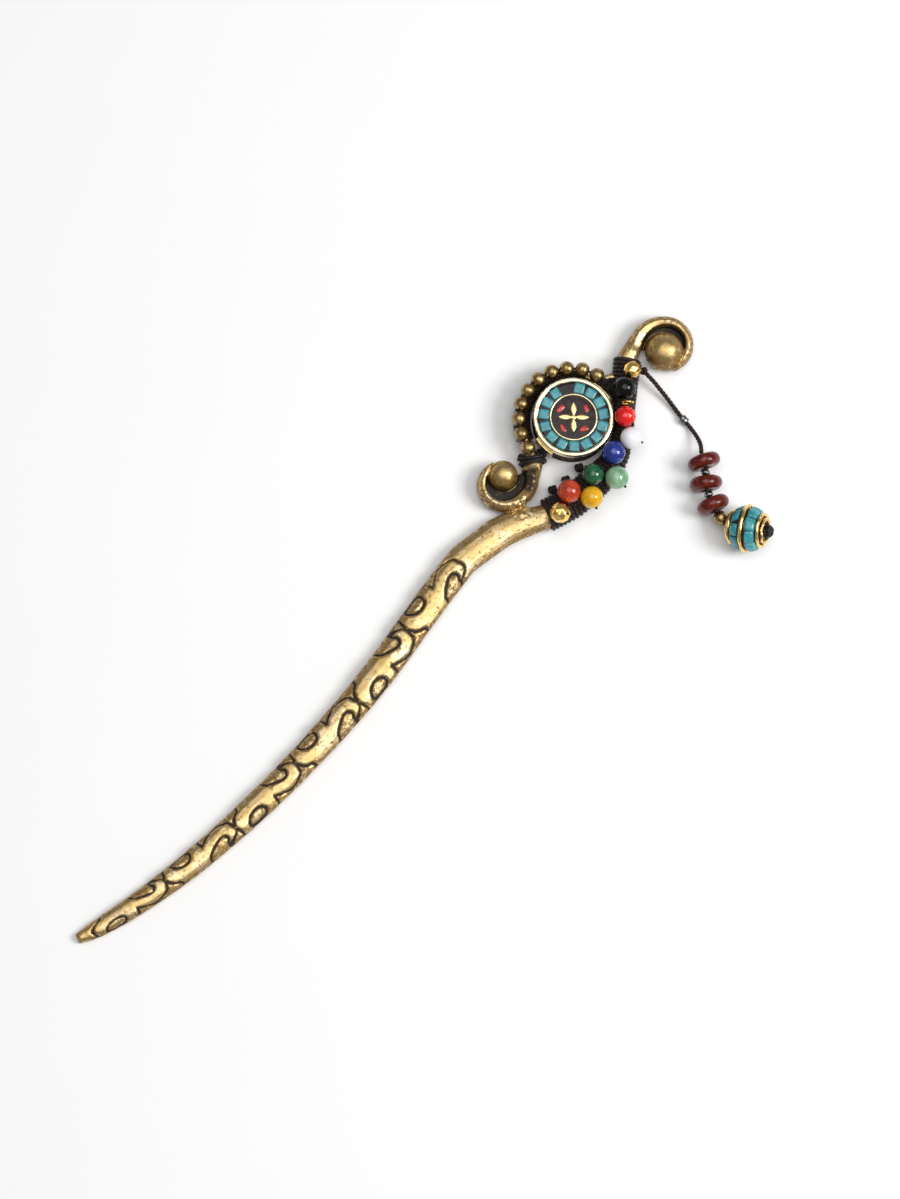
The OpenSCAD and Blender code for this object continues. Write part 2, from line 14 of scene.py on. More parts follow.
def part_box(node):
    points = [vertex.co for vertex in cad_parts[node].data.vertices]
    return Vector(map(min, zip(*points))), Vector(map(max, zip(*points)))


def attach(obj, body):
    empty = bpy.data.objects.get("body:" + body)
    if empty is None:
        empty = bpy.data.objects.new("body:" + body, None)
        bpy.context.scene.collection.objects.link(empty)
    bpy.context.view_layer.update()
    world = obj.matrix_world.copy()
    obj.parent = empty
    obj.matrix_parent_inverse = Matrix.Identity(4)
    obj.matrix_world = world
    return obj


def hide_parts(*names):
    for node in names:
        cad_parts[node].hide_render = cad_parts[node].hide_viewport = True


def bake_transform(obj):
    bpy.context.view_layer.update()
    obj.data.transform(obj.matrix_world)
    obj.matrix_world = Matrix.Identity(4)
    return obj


MM = 0.001
TAU = 2 * math.pi

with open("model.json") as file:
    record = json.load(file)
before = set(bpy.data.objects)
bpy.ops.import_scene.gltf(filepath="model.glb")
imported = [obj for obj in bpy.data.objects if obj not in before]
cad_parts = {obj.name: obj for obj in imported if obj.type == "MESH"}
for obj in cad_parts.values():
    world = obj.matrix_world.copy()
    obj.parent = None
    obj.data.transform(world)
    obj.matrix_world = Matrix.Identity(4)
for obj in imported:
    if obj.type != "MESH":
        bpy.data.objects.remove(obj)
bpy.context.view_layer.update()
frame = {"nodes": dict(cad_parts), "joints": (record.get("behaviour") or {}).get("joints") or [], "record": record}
NODES = frame["nodes"]
RECORD = frame["record"]
BODY_OF = {n: body for body, names in RECORD["behaviour"]["bodies"].items() for n in names}
JOINT = {j["name"]: j for j in frame["joints"]}
rng = np.random.default_rng(7)


def corners(node):
    low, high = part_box(node)
    return np.array(low) / MM, np.array(high) / MM


def centre(node):
    low, high = corners(node)
    return (low + high) / 2


def unit(v):
    v = np.asarray(v, float)
    return v / np.linalg.norm(v)


def smoothstep(low, high, x):
    t = np.clip((np.asarray(x, float) - low) / (high - low), 0, 1)
    return t * t * (3 - 2 * t)


def catmull(rows, per, closed=False):
    """A smooth curve through rows, with per samples between each two."""
    rows = np.asarray(rows, float)
    n = len(rows)
    out = []
    for i in range(n if closed else n - 1):
        if closed:
            a, b, c, d = (rows[(i + k) % n] for k in (-1, 0, 1, 2))
        else:
            a, b, c, d = rows[max(i - 1, 0)], rows[i], rows[i + 1], rows[min(i + 2, n - 1)]
        for k in range(per):
            t = k / per
            out.append(0.5 * (2 * b + (c - a) * t + (2 * a - 5 * b + 4 * c - d) * t * t
                              + (3 * b - a - 3 * c + d) * t ** 3))
    if not closed:
        out.append(rows[-1])
    return np.array(out)


def spaced(points, step):
    """The curve's points again, about step apart."""
    along = np.concatenate([[0], np.cumsum(np.linalg.norm(np.diff(points, axis=0), axis=1))])
    at = np.linspace(0, along[-1], max(2, round(along[-1] / step) + 1))
    return np.stack([np.interp(at, along, points[:, k]) for k in range(points.shape[1])], axis=1)


# ---- Camera

RIGHT = Vector((0.70571, -0.70571, 0.06279))
UP = Vector((0.68242, 0.70089, 0.20750))
TOWARD = RIGHT.cross(UP).normalized()


def make_camera():
    """A long lens, nearly straight down, with the pin on the frame's diagonal."""
    distance = 2.0
    view_height = 0.2551
    aim = (RIGHT * -25.79 + UP * -37.29) * MM
    data = bpy.data.cameras.new("camera")
    data.lens = data.sensor_width * distance / view_height
    data.clip_end = 20
    camera = bpy.data.objects.new("camera", data)
    bpy.context.scene.collection.objects.link(camera)
    place = Matrix((RIGHT, UP, TOWARD)).transposed().to_4x4()
    place.translation = aim + TOWARD * distance
    camera.matrix_world = place
    bpy.context.scene.camera = camera


# ---- Materials


class Shader:
    """A node material: a Principled shader and short ways to feed it."""

    def __init__(self, name, **values):
        self.material = bpy.data.materials.new(name)
        self.material.use_nodes = True
        self.nodes = self.material.node_tree.nodes
        self.links = self.material.node_tree.links
        self.bsdf = self.nodes["Principled BSDF"]
        metres = self.nodes.new("ShaderNodeTexCoord").outputs["Object"]
        to_mm = self.nodes.new("ShaderNodeMapping")
        to_mm.inputs["Scale"].default_value = (1 / MM, 1 / MM, 1 / MM)
        self.links.new(metres, to_mm.inputs["Vector"])
        self.coords = to_mm.outputs["Vector"]
        for key, value in values.items():
            self.bsdf.inputs[key.replace("_", " ")].default_value = value

    def feed(self, target, value):
        if isinstance(value, bpy.types.NodeSocket):
            self.links.new(value, target)
        else:
            target.default_value = value

    def noise(self, per_mm, detail=3, roughness=0.55, vector=None, distortion=0):
        node = self.nodes.new("ShaderNodeTexNoise")
        self.links.new(vector or self.coords, node.inputs["Vector"])
        node.inputs["Scale"].default_value = per_mm
        node.inputs["Detail"].default_value = detail
        node.inputs["Roughness"].default_value = roughness
        node.inputs["Distortion"].default_value = distortion
        return node.outputs["Fac"]

    def stretched(self, scale, turn=(0, 0, 0)):
        node = self.nodes.new("ShaderNodeMapping")
        self.links.new(self.coords, node.inputs["Vector"])
        node.inputs["Scale"].default_value = scale
        node.inputs["Rotation"].default_value = turn
        return node.outputs["Vector"]

    def math(self, operation, a, b=0.0, clamp=False):
        node = self.nodes.new("ShaderNodeMath")
        node.operation = operation
        node.use_clamp = clamp
        self.feed(node.inputs[0], a)
        self.feed(node.inputs[1], b)
        return node.outputs[0]

    def spread(self, value, low, high, to_low=0.0, to_high=1.0):
        node = self.nodes.new("ShaderNodeMapRange")
        node.interpolation_type = "SMOOTHSTEP"
        self.feed(node.inputs["Value"], value)
        for key, number in zip(("From Min", "From Max", "To Min", "To Max"), (low, high, to_low, to_high)):
            node.inputs[key].default_value = number
        return node.outputs["Result"]

    def ramp(self, value, stops):
        node = self.nodes.new("ShaderNodeValToRGB")
        self.links.new(value, node.inputs["Fac"])
        elements = node.color_ramp.elements
        while len(elements) < len(stops):
            elements.new(0.5)
        for element, (at, colour) in zip(elements, stops):
            element.position = at
            element.color = (*colour, 1)
        return node.outputs["Color"]

    def mix(self, share, a, b):
        node = self.nodes.new("ShaderNodeMix")
        node.data_type = "RGBA"
        self.feed(node.inputs["Factor"], share)
        for key, colour in (("A", a), ("B", b)):
            socket = [s for s in node.inputs if s.name == key and s.type == "RGBA"][0]
            self.feed(socket, colour if isinstance(colour, bpy.types.NodeSocket) else (*colour, 1))
        return [s for s in node.outputs if s.type == "RGBA"][0]

    def attribute(self, name):
        node = self.nodes.new("ShaderNodeAttribute")
        node.attribute_name = name
        return node.outputs["Fac"]

    def colour(self, value):
        self.feed(self.bsdf.inputs["Base Color"], value if isinstance(value, bpy.types.NodeSocket) else (*value, 1))

    def rough(self, value):
        self.feed(self.bsdf.inputs["Roughness"], value)

    def metal(self, value):
        self.feed(self.bsdf.inputs["Metallic"], value)

    def bump(self, *heights):
        """Bumps in turn, each a (height, depth in mm) pair."""
        normal = None
        for height, depth in heights:
            node = self.nodes.new("ShaderNodeBump")
            node.inputs["Strength"].default_value = 1
            node.inputs["Distance"].default_value = depth * MM
            self.links.new(height, node.inputs["Height"])
            if normal:
                self.links.new(normal, node.inputs["Normal"])
            normal = node.outputs["Normal"]
        self.links.new(normal, self.bsdf.inputs["Normal"])


GOLD = (0.62, 0.44, 0.20)
PATINA = (0.016, 0.010, 0.005)


def cast_brass():
    """Satin cast brass: bright on top, darkened on the slopes by painted shade, blackened by patina in the grooves,
    speckled between.
    """
    s = Shader("cast_brass")
    speckle = s.noise(1.15, 6, 0.78)
    cloud = s.noise(0.22, 3)
    # This attribute holds the casting's real patina in the grooves and recesses, and painted shade on its slopes.
    darkening = s.attribute("darkening")
    wobble = s.math("MULTIPLY", s.math("SUBTRACT", speckle, 0.5), 5.2)
    wobble = s.math("ADD", wobble, s.math("MULTIPLY", s.math("SUBTRACT", cloud, 0.5), 0.7))
    share = s.spread(s.math("ADD", darkening, wobble), 0.10, 0.80)
    tone = s.ramp(cloud, [(0.3, (0.52, 0.35, 0.13)), (0.5, GOLD), (0.7, (0.80, 0.66, 0.42))])
    s.colour(s.mix(share, tone, s.mix(s.spread(darkening, 0.6, 1.0), (0.22, 0.118, 0.024), PATINA)))
    s.metal(s.spread(share, 0.55, 1.0, 1.0, 0.25))
    s.rough(s.math("ADD", s.spread(share, 0, 1, 0.32, 0.6), s.math("MULTIPLY", s.math("SUBTRACT", speckle, 0.5), 0.25)))
    s.bump((s.noise(3.2, 5, 0.7), 0.06), (s.noise(0.7, 2), 0.06))
    return s.material


def plain_metal(name, tones, rough, grain=0.02, darkening=0.0, per_mm=0.8):
    """Brass, gold or silver with slight tone changes, fine scratches and random patches of dirt."""
    s = Shader(name, Metallic=1.0)
    cloud = s.noise(per_mm, 4, 0.6)
    tone = s.ramp(cloud, [(0.32, tones[0]), (0.52, tones[1]), (0.72, tones[-1])])
    if darkening:
        dirt = s.spread(s.noise(per_mm * 2.2, 5, 0.7), 0.75 - darkening, 0.95 - darkening * 0.6)
        tone = s.mix(dirt, tone, (0.07, 0.045, 0.018))
    s.colour(tone)
    s.rough(s.spread(s.noise(2.5, 3), 0.3, 0.7, rough * 0.75, rough * 1.3))
    s.bump((s.noise(3.0, 3), grain), (s.noise(0.5, 2), grain * 1.6))
    return s.material


def stone_look(name, stops, per_mm=0.5, rough=0.07, vein=0.0, **values):
    """A polished stone: mottled colour under a clear polish."""
    s = Shader(name, **{"Coat_Weight": 0.35, "Coat_Roughness": 0.03, **values})
    cloud = s.noise(per_mm, 5, 0.62, distortion=vein)
    s.colour(s.ramp(cloud, stops))
    s.rough(s.spread(s.noise(2.0, 2), 0.3, 0.7, rough * 0.8, rough * 1.5))
    s.bump((s.noise(0.6, 2), 0.02),)
    return s.material


def cord_look(name, dark, light, plies=2, lay=0.9, sheen=0.08, rough=0.5):
    """Waxed cord: plies twisted round each other, with fibres along them, and painted shade in the grooves between the
    plies.
    """
    s = Shader(name, Sheen_Weight=sheen, Sheen_Roughness=0.4, Specular_IOR_Level=0.35)
    uv = s.nodes.new("ShaderNodeUVMap")
    uv.uv_map = "cord"
    split = s.nodes.new("ShaderNodeSeparateXYZ")
    s.links.new(uv.outputs["UV"], split.inputs[0])
    turn = s.math("ADD", s.math("MULTIPLY", split.outputs[0], TAU / lay),
                  s.math("MULTIPLY", split.outputs[1], TAU * plies))
    ply = s.math("ABSOLUTE", s.math("SINE", s.math("MULTIPLY", turn, 0.5)))
    fuzz = s.noise(4.0, 4, 0.7)
    # Painted shade: the colour darkens into the grooves between the plies, times a random fibre tone.
    s.colour(s.ramp(s.math("MULTIPLY", ply, s.spread(fuzz, 0.2, 0.8, 0.55, 1.15)),
                    [(0.1, dark), (0.85, light)]))
    s.rough(s.spread(fuzz, 0.3, 0.7, rough * 0.8, rough * 1.2))
    s.bump((ply, 0.09), (fuzz, 0.03))
    return s.material


def thread_look(name, dark, light):
    """Fine thread with no visible ply."""
    s = Shader(name, Sheen_Weight=0.05, Specular_IOR_Level=0.35)
    fuzz = s.noise(3.0, 4, 0.7)
    s.colour(s.ramp(fuzz, [(0.3, dark), (0.7, light)]))
    s.rough(s.spread(fuzz, 0.3, 0.7, 0.4, 0.6))
    s.bump((fuzz, 0.05),)
    return s.material


def resin_look():
    """Glossy dark filler between the inlays, purple-brown with lighter specks."""
    s = Shader("dark_resin", Specular_IOR_Level=0.25)
    speck = s.noise(2.6, 4, 0.7)
    wall = s.attribute("wall")
    strand = s.spread(s.noise(0.9, 3, 0.6, vector=s.stretched((0.5, 0.5, 2.2))), 0.56, 0.60)
    body = (s.ramp(s.noise(0.9, 4), [(0.3, (0.010, 0.006, 0.007)), (0.5, (0.022, 0.013, 0.014)),
                                      (0.72, (0.045, 0.026, 0.024))]))
    s.colour(s.mix(s.math("MULTIPLY", wall, strand), body, (0.20, 0.075, 0.035)))
    s.rough(s.math("ADD", s.spread(speck, 0.3, 0.7, 0.2, 0.36), s.math("MULTIPLY", wall, 0.4)))
    s.bump((speck, 0.03), (s.noise(0.6, 2), 0.06))
    return s.material


def wood_look():
    """Dark red-brown lacquered wood with faint ring lines."""
    s = Shader("lacquered_wood", Coat_Weight=0.2, Coat_Roughness=0.05, Specular_IOR_Level=0.3)
    grain = s.noise(0.55, 5, 0.65, vector=s.stretched((1, 1, 5)), distortion=0.6)
    s.colour(s.ramp(grain, [(0.3, (0.030, 0.003, 0.002)), (0.5, (0.11, 0.009, 0.005)),
                            (0.72, (0.20, 0.020, 0.010))]))
    s.rough(s.spread(s.noise(2.0, 2), 0.3, 0.7, 0.15, 0.26))
    s.bump((grain, 0.025),)
    return s.material


def floor_look():
    s = Shader("pale_floor")
    s.colour(s.ramp(s.noise(0.02, 2), [(0.0, (0.93, 0.93, 0.93)), (1.0, (0.95, 0.95, 0.95))]))
    s.rough(0.9)
    return s.material


def make_looks():
    tile = [(0.25, (0.012, 0.13, 0.16)), (0.48, (0.022, 0.25, 0.29)), (0.75, (0.09, 0.40, 0.43))]
    return {
        "cast_brass": cast_brass(),
        "waxed_cord": cord_look("waxed_cord", (0.004, 0.002, 0.002), (0.034, 0.016, 0.013)),
        "thin_cord": cord_look("thin_cord", (0.004, 0.002, 0.002), (0.030, 0.014, 0.011), lay=0.7),
        "black_cord": cord_look("black_cord", (0.003, 0.002, 0.002), (0.016, 0.009, 0.008), lay=0.7),
        "thread": thread_look("thread", (0.003, 0.002, 0.002), (0.014, 0.008, 0.007)),
        "dangle_cord": thread_look("dangle_cord", (0.005, 0.003, 0.002), (0.035, 0.016, 0.012)),
        "rim": plain_metal("polished_rim", [(0.80, 0.66, 0.36), (0.90, 0.78, 0.48), (0.96, 0.88, 0.64)], 0.2,
                           0.03, 0.08),
        "motif": plain_metal("motif_brass", [(0.72, 0.50, 0.20), (0.85, 0.63, 0.28), (0.95, 0.78, 0.45)],
                             0.3, 0.05, 0.1, 1.6),
        "plate": plain_metal("plate_brass", [(0.45, 0.33, 0.15), (0.62, 0.48, 0.24), (0.75, 0.60, 0.32)],
                             0.3, 0.03, 0.25),
        "bead_brass": plain_metal("antique_bead_brass", [(0.26, 0.17, 0.07), (0.42, 0.30, 0.13),
                                                         (0.58, 0.44, 0.21)],
                                  0.3, 0.03, 0.3, 1.0),
        "gold": plain_metal("bright_gold", [(0.90, 0.50, 0.10), (1.0, 0.66, 0.20), (1.0, 0.80, 0.36)], 0.12,
                            0.012, 0.0, 1.2),
        "wire": plain_metal("hammered_gold", [(0.80, 0.46, 0.13), (0.95, 0.62, 0.22), (1.0, 0.76, 0.36)],
                            0.2, 0.04, 0.12, 1.2),
        "silver": plain_metal("silver", [(0.05, 0.05, 0.05), (0.24, 0.24, 0.24), (0.72, 0.72, 0.72)], 0.2,
                              0.08,
                              per_mm=1.5),
        "turquoise": stone_look("turquoise", tile, 0.55, 0.2, 0.3),
        "coral": stone_look("coral", [(0.3, (0.30, 0.012, 0.010)), (0.5, (0.48, 0.022, 0.016)),
                                      (0.7, (0.60, 0.06, 0.04))], 1.2, 0.2),
        "onyx_bead": stone_look("onyx", [(0.2, (0.001, 0.001, 0.001)), (0.8, (0.004, 0.004, 0.005))], 0.4,
                                0.05,
                                Coat_Weight=0.0, Specular_IOR_Level=0.3),
        "red_bead": stone_look("red_stone", [(0.25, (0.62, 0.004, 0.005)), (0.75, (0.85, 0.012, 0.012))],
                               0.4, 0.08,
                               Subsurface_Weight=0.15, Subsurface_Radius=(1.0, 0.2, 0.2),
                               Subsurface_Scale=0.001),
        "white_bead": stone_look("white_stone", [(0.25, (0.80, 0.77, 0.82)), (0.75, (0.90, 0.89, 0.91))],
                                 0.4, 0.12,
                                 Subsurface_Weight=0.3, Subsurface_Radius=(1.0, 1.0, 1.0),
                                 Subsurface_Scale=0.001),
        "lapis_bead": stone_look("lapis", [(0.30, (0.004, 0.005, 0.025)), (0.45, (0.012, 0.026, 0.20)),
                                           (0.62, (0.022, 0.050, 0.36)), (0.80, (0.10, 0.15, 0.42))], 0.45,
                                           0.07, 0.8),
        "dark_green_bead": stone_look("dark_green_stone", [(0.30, (0.004, 0.016, 0.008)),
                                                           (0.48, (0.008, 0.075, 0.028)),
                                                           (0.68, (0.022, 0.17, 0.060)),
                                                           (0.85, (0.09, 0.26, 0.12))],
                                      0.5, 0.07, 0.9),
        "light_green_bead": stone_look("light_green_stone", [(0.28, (0.13, 0.28, 0.16)),
                                                             (0.5, (0.22, 0.41, 0.25)),
                                                             (0.75, (0.40, 0.58, 0.42))], 0.6, 0.08, 0.5,
                                       Subsurface_Weight=0.45, Subsurface_Radius=(0.75, 1.0, 0.75),
                                       Subsurface_Scale=0.002),
        "carnelian_bead": stone_look("carnelian", [(0.28, (0.26, 0.014, 0.006)), (0.48, (0.44, 0.035, 0.010)),
                                                   (0.72, (0.58, 0.080, 0.020))], 0.45, 0.08, 0.7,
                                     Subsurface_Weight=0.2, Subsurface_Radius=(1.0, 0.3, 0.15),
                                     Subsurface_Scale=0.0015),
        "amber_bead": stone_look("amber_stone", [(0.28, (0.62, 0.30, 0.004)), (0.5, (0.76, 0.42, 0.006)),
                                                 (0.75, (0.84, 0.53, 0.02))], 0.35, 0.07, 0.4,
                                 Subsurface_Weight=0.4, Subsurface_Radius=(1.0, 0.5, 0.1),
                                 Subsurface_Scale=0.002),
        "resin": resin_look(),
        "wood": wood_look(),
        "mastic": stone_look("black_mastic", [(0.3, (0.006, 0.004, 0.004)), (0.62, (0.018, 0.010, 0.009)),
                                              (0.85, (0.07, 0.02, 0.014))], 1.2, 0.28),
        "floor": floor_look(),
    }


# ---- Mesh tools


def piece(name, points, faces, look, node, smooth=True, uv=None, attributes=None, ride=True):
    """Makes a detailed piece that stands for a CAD node and rides on its body."""
    mesh = bpy.data.meshes.new(name)
    mesh.from_pydata([tuple(p) for p in np.asarray(points) * MM], [],
                     [tuple(int(i) for i in f) for f in faces])
    mesh.validate()
    mesh.polygons.foreach_set("use_smooth", [smooth] * len(mesh.polygons))
    if uv is not None:
        layer = mesh.uv_layers.new(name="cord")
        layer.data.foreach_set("uv", np.asarray(uv, np.float32).ravel())
    for key, values in (attributes or {}).items():
        mesh.attributes.new(key, "FLOAT", "POINT").data.foreach_set("value", np.asarray(values, np.float32))
    mesh.materials.append(look)
    mesh.update()
    obj = bpy.data.objects.new(name, mesh)
    bpy.context.scene.collection.objects.link(obj)
    nodes = [node] if isinstance(node, str) else list(node)
    if ride:
        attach(obj, BODY_OF[nodes[0]])
    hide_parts(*nodes)
    return obj


class Parts:
    """Several bits of mesh, gathered into one."""

    def __init__(self):
        self.points, self.faces, self.uv, self.count = [], [], [], 0

    def add(self, points, faces, uv=None):
        self.points.append(np.asarray(points, float))
        self.faces += [tuple(i + self.count for i in f) for f in faces]
        if uv is not None:
            self.uv.append(uv)
        self.count += len(points)

    def piece(self, name, look, node, **options):
        uv = np.concatenate(self.uv) if self.uv else None
        return piece(name, np.concatenate(self.points), self.faces, look, node, uv=uv, **options)


def tube(points, radius, sides=8, closed=False):
    """A round tube through points, with frames carried along it: points, faces and cord UVs."""
    p = np.asarray(points, float)
    n = len(p)
    ahead = np.roll(p, -1, 0) - np.roll(p, 1, 0) if closed else np.gradient(p, axis=0)
    t = ahead / np.linalg.norm(ahead, axis=1)[:, None]
    side = np.zeros_like(p)
    start = np.array([0, 0, 1.0]) if abs(t[0][2]) < 0.9 else np.array([1.0, 0, 0])
    side[0] = unit(np.cross(t[0], start))
    for i in range(1, n):
        side[i] = unit(side[i - 1] - t[i] * (side[i - 1] @ t[i]))
    up = np.cross(t, side)
    if closed:
        last = side[-1] - t[0] * (side[-1] @ t[0])
        slip = math.atan2(last @ up[0], last @ side[0])
        turn = -slip * np.arange(n) / n
        side, up = (side * np.cos(turn)[:, None] + up * np.sin(turn)[:, None],
                    up * np.cos(turn)[:, None] - side * np.sin(turn)[:, None])
    radius = np.broadcast_to(np.asarray(radius, float), (n,))
    angle = np.arange(sides) * TAU / sides
    ring = side[:, None] * np.cos(angle)[None, :, None] + up[:, None] * np.sin(angle)[None, :, None]
    verts = (p[:, None] + ring * radius[:, None, None]).reshape(-1, 3)
    along = np.concatenate([[0], np.cumsum(np.linalg.norm(np.diff(p, axis=0), axis=1))])
    faces, uv = [], []
    for i in range(n if closed else n - 1):
        j = (i + 1) % n
        a_end = along[i + 1] if i + 1 < n else along[i] + np.linalg.norm(p[0] - p[-1])
        for k in range(sides):
            m = (k + 1) % sides
            faces.append((i * sides + k, i * sides + m, j * sides + m, j * sides + k))
            uv += [(along[i], k / sides), (along[i], (k + 1) / sides), (a_end, (k + 1) / sides),
                   (a_end, k / sides)]
    if not closed:
        faces.append(tuple(range(sides))[::-1])
        faces.append(tuple((n - 1) * sides + k for k in range(sides)))
        uv += [(0, 0)] * (2 * sides)
    return verts, faces, np.array(uv)


def lathe(profile, segments=48, stagger=False):
    """A closed profile of (radius, height) pairs, turned about Z."""
    profile = np.asarray(profile, float)
    rings = len(profile)
    points = []
    for i, (r, z) in enumerate(profile):
        shift = 0.5 * (i % 2) if stagger else 0
        angle = (np.arange(segments) + shift) * TAU / segments
        points.append(np.stack([r * np.cos(angle), r * np.sin(angle), np.full(segments, z)], axis=1))
    faces = []
    for i in range(rings):
        j = (i + 1) % rings
        for k in range(segments):
            m = (k + 1) % segments
            a, b, c, d = i * segments + k, i * segments + m, j * segments + m, j * segments + k
            if stagger:
                faces += [(a, b, d), (b, c, d)] if i % 2 == 0 else [(a, b, c), (a, c, d)]
            else:
                faces.append((a, b, c, d))
    return np.concatenate(points), faces


def aim(direction):
    """The rotation that turns Z towards a direction."""
    return np.array(Vector(direction).to_track_quat("Z", "Y").to_matrix())


def bead_profile(radius, bore, stops=22, lip=0.12):
    """A round bead's section: the outside arc, a small lip and the bore."""
    edge = math.asin(min(0.95, (bore + lip) / radius))
    arc = [(radius * math.sin(a), radius * math.cos(a)) for a in np.linspace(edge, math.pi - edge, stops)]
    end = radius * math.cos(edge) - lip * 0.4
    return arc + [(bore, -end), (bore, -end * 0.5), (bore, end * 0.5), (bore, end)]


def wobble(points, amount, per_mm, seed=0.0):
    """Moves points in and out by smooth noise."""
    out = np.array(points, float)
    for i, p in enumerate(out):
        q = Vector(p * per_mm) + Vector((seed, seed * 1.7, -seed))
        out[i] += np.array(noise.noise_vector(q)) * amount
    return out


def numpy_noise(points, per_mm, seed=0.0):
    shift = Vector((seed, -seed, seed * 2))
    return np.array([noise.noise(Vector(p) * per_mm + shift) for p in points])


def pillow(place, half_u, half_v, depth, steps=10, soft=0.16, power=8):
    """A closed tile with softened edges. place(u, v, z) puts it in space; z is 0 at its face."""
    edge = np.linspace(-1, 1, steps)
    edge = np.sign(edge) * (1 - (1 - np.abs(edge)) ** 1.6)
    points, faces = [], []
    for a in edge:
        for b in edge:
            round_off = (abs(a) ** power + abs(b) ** power)
            corner = 1 - 0.035 * (a * a * b * b) ** 2
            points.append(place(a * half_u * corner, b * half_v * corner, -soft * min(round_off, 1.35)))
    n = steps
    for i in range(n - 1):
        for k in range(n - 1):
            faces.append((i * n + k, (i + 1) * n + k, (i + 1) * n + k + 1, i * n + k + 1))
    rim = ([i * n for i in range(n)] + [(n - 1) * n + k for k in range(1, n)]
           + [i * n + n - 1 for i in range(n - 2, -1, -1)] + [k for k in range(n - 2, 0, -1)])
    base = len(points)
    for index in rim:
        a, b = edge[index // n], edge[index % n]
        points.append(place(a * half_u, b * half_v, -depth))
    for i in range(len(rim)):
        j = (i + 1) % len(rim)
        faces.append((rim[i], base + i, base + j, rim[j]))
    faces.append(tuple(base + i for i in range(len(rim))))
    return np.array(points), faces


def turned(angle):
    c, s = math.cos(math.radians(angle)), math.sin(math.radians(angle))
    return np.array([[c, -s, 0], [s, c, 0], [0, 0, 1.0]])


# ---- Layout of the head, as the CAD frame has it

MEDALLION_R = (corners("medallion_rim")[1][0] - corners("medallion_rim")[0][0]) / 2
MEDALLION_TOP = corners("medallion_rim")[1][2]
BORE_Z = centre("medallion_cord")[2]
BACK_Z = 0.95
SEAT = 0.1
BIND_D = 0.85
THIN_BIND_D = 0.6


def around(off, angle):
    r = MEDALLION_R + off
    return [r * math.cos(math.radians(angle)), r * math.sin(math.radians(angle))]


UPPER_BALL = np.array(around(16.4, -6.85))
LOWER_BALL = np.array(around(10.5, 174.2))
UPPER_NECK, LOWER_NECK = 150, -15
UPPER_BALL_R, LOWER_BALL_R, SCROLL_R = 4.15, 3.2, 7.9
RECESS = 0.45
SHAFT_T = 3.4

# Stations of the arm: off the medallion, angle, width, thickness
ARM = [(24, 189.5, 7.04, 3.4), (18.6, 194.6, 6.9, 3.4), (12.8, 209.5, 5.4, 3.1), (8.8, 225, 5.4, 2.92),
       (5.3, 245, 5.4, 2.8), (3.6, 270, 4.2, 2.8), (2.65, 296, 3, 2.8), (2.65, 325, 3, 2.8),
       (4.6, 347, 3.78, 2.8), (9.9, 365, 4.2, 2.8)]
LOOP_CENTRE = np.array([-0.4, 0.1])
LOOP_W, LOOP_T = 1.6, 2.0
LOOP_GAP = 0.2
LOOP_INNER_R = MEDALLION_R + LOOP_GAP + THIN_BIND_D + SEAT
LOOP_R = LOOP_INNER_R + LOOP_W / 2 + np.linalg.norm(LOOP_CENTRE)


def loop_row(angle):
    """Middle, width and thickness of the loop: outside it follows the ring beads, inside the medallion."""
    turn = math.radians(angle)
    edge = LOOP_CENTRE + (LOOP_R + LOOP_W / 2) * np.array([math.cos(turn), math.sin(turn)])
    reach = np.linalg.norm(edge)
    width = reach - LOOP_INNER_R
    return [*(edge * (1 - width / 2 / reach)), width, LOOP_T]


def winding(rows, cord_d, pitch, per_turn=44, jitter=0.05):
    """The line of a cord wound round a D-shaped limb. Rows are x, y, width, thickness."""
    path = catmull(rows, 16)
    flat = path[:, :2]
    along = np.concatenate([[0], np.cumsum(np.linalg.norm(np.diff(flat, axis=0), axis=1))])
    turns = int(along[-1] / pitch)
    ahead = np.gradient(flat, axis=0)
    heading = np.unwrap(np.arctan2(ahead[:, 1], ahead[:, 0]))
    dome = np.linspace(0, math.pi, 15)
    line = []
    slack = rng.normal(0, jitter * 0.5, turns + 2)
    drift = rng.normal(0, pitch * jitter, turns + 2)
    for k in range(turns * per_turn + 1):
        turn = k / per_turn
        i = int(turn)
        share = turn - i
        nudge = drift[i] * (1 - share) + drift[i + 1] * share
        at = np.clip((turn + 0.25) * pitch + nudge, 0, along[-1])
        x, y, w, t = (np.interp(at, along, path[:, c]) for c in range(4))
        d = np.interp(at, along, heading)
        g = SEAT + cord_d / 2 + slack[i] * (1 - share) + slack[i + 1] * share
        g = max(g, SEAT * 0.5 + cord_d / 2)
        outline = [(0, -g), (w * 0.4, -g)]
        outline += [((w / 2 + g) * math.cos(a), t * 0.3 + (t * 0.7 + g) * math.sin(a) ** 0.75) for a in dome]
        outline += [(-w * 0.4, -g), (0, -g)]
        outline = np.array(outline)
        s = np.concatenate([[0], np.cumsum(np.linalg.norm(np.diff(outline, axis=0), axis=1))])
        u = np.interp(share * s[-1], s, outline[:, 0])
        v = np.interp(share * s[-1], s, outline[:, 1])
        line.append([x + u * math.sin(d), y - u * math.cos(d), BACK_Z + v])
    return np.array(line)


def make_winding(name, node, rows, cord_d, pitch, look):
    line = winding(rows, cord_d, pitch)
    points, faces, uv = tube(line, cord_d / 2, 8)
    points[:, 2] = np.maximum(points[:, 2], 0.0)
    return piece(name, points, faces, look, node, uv=uv)


def arm_row(off, angle, w, t):
    return around(off, angle) + [w, t]


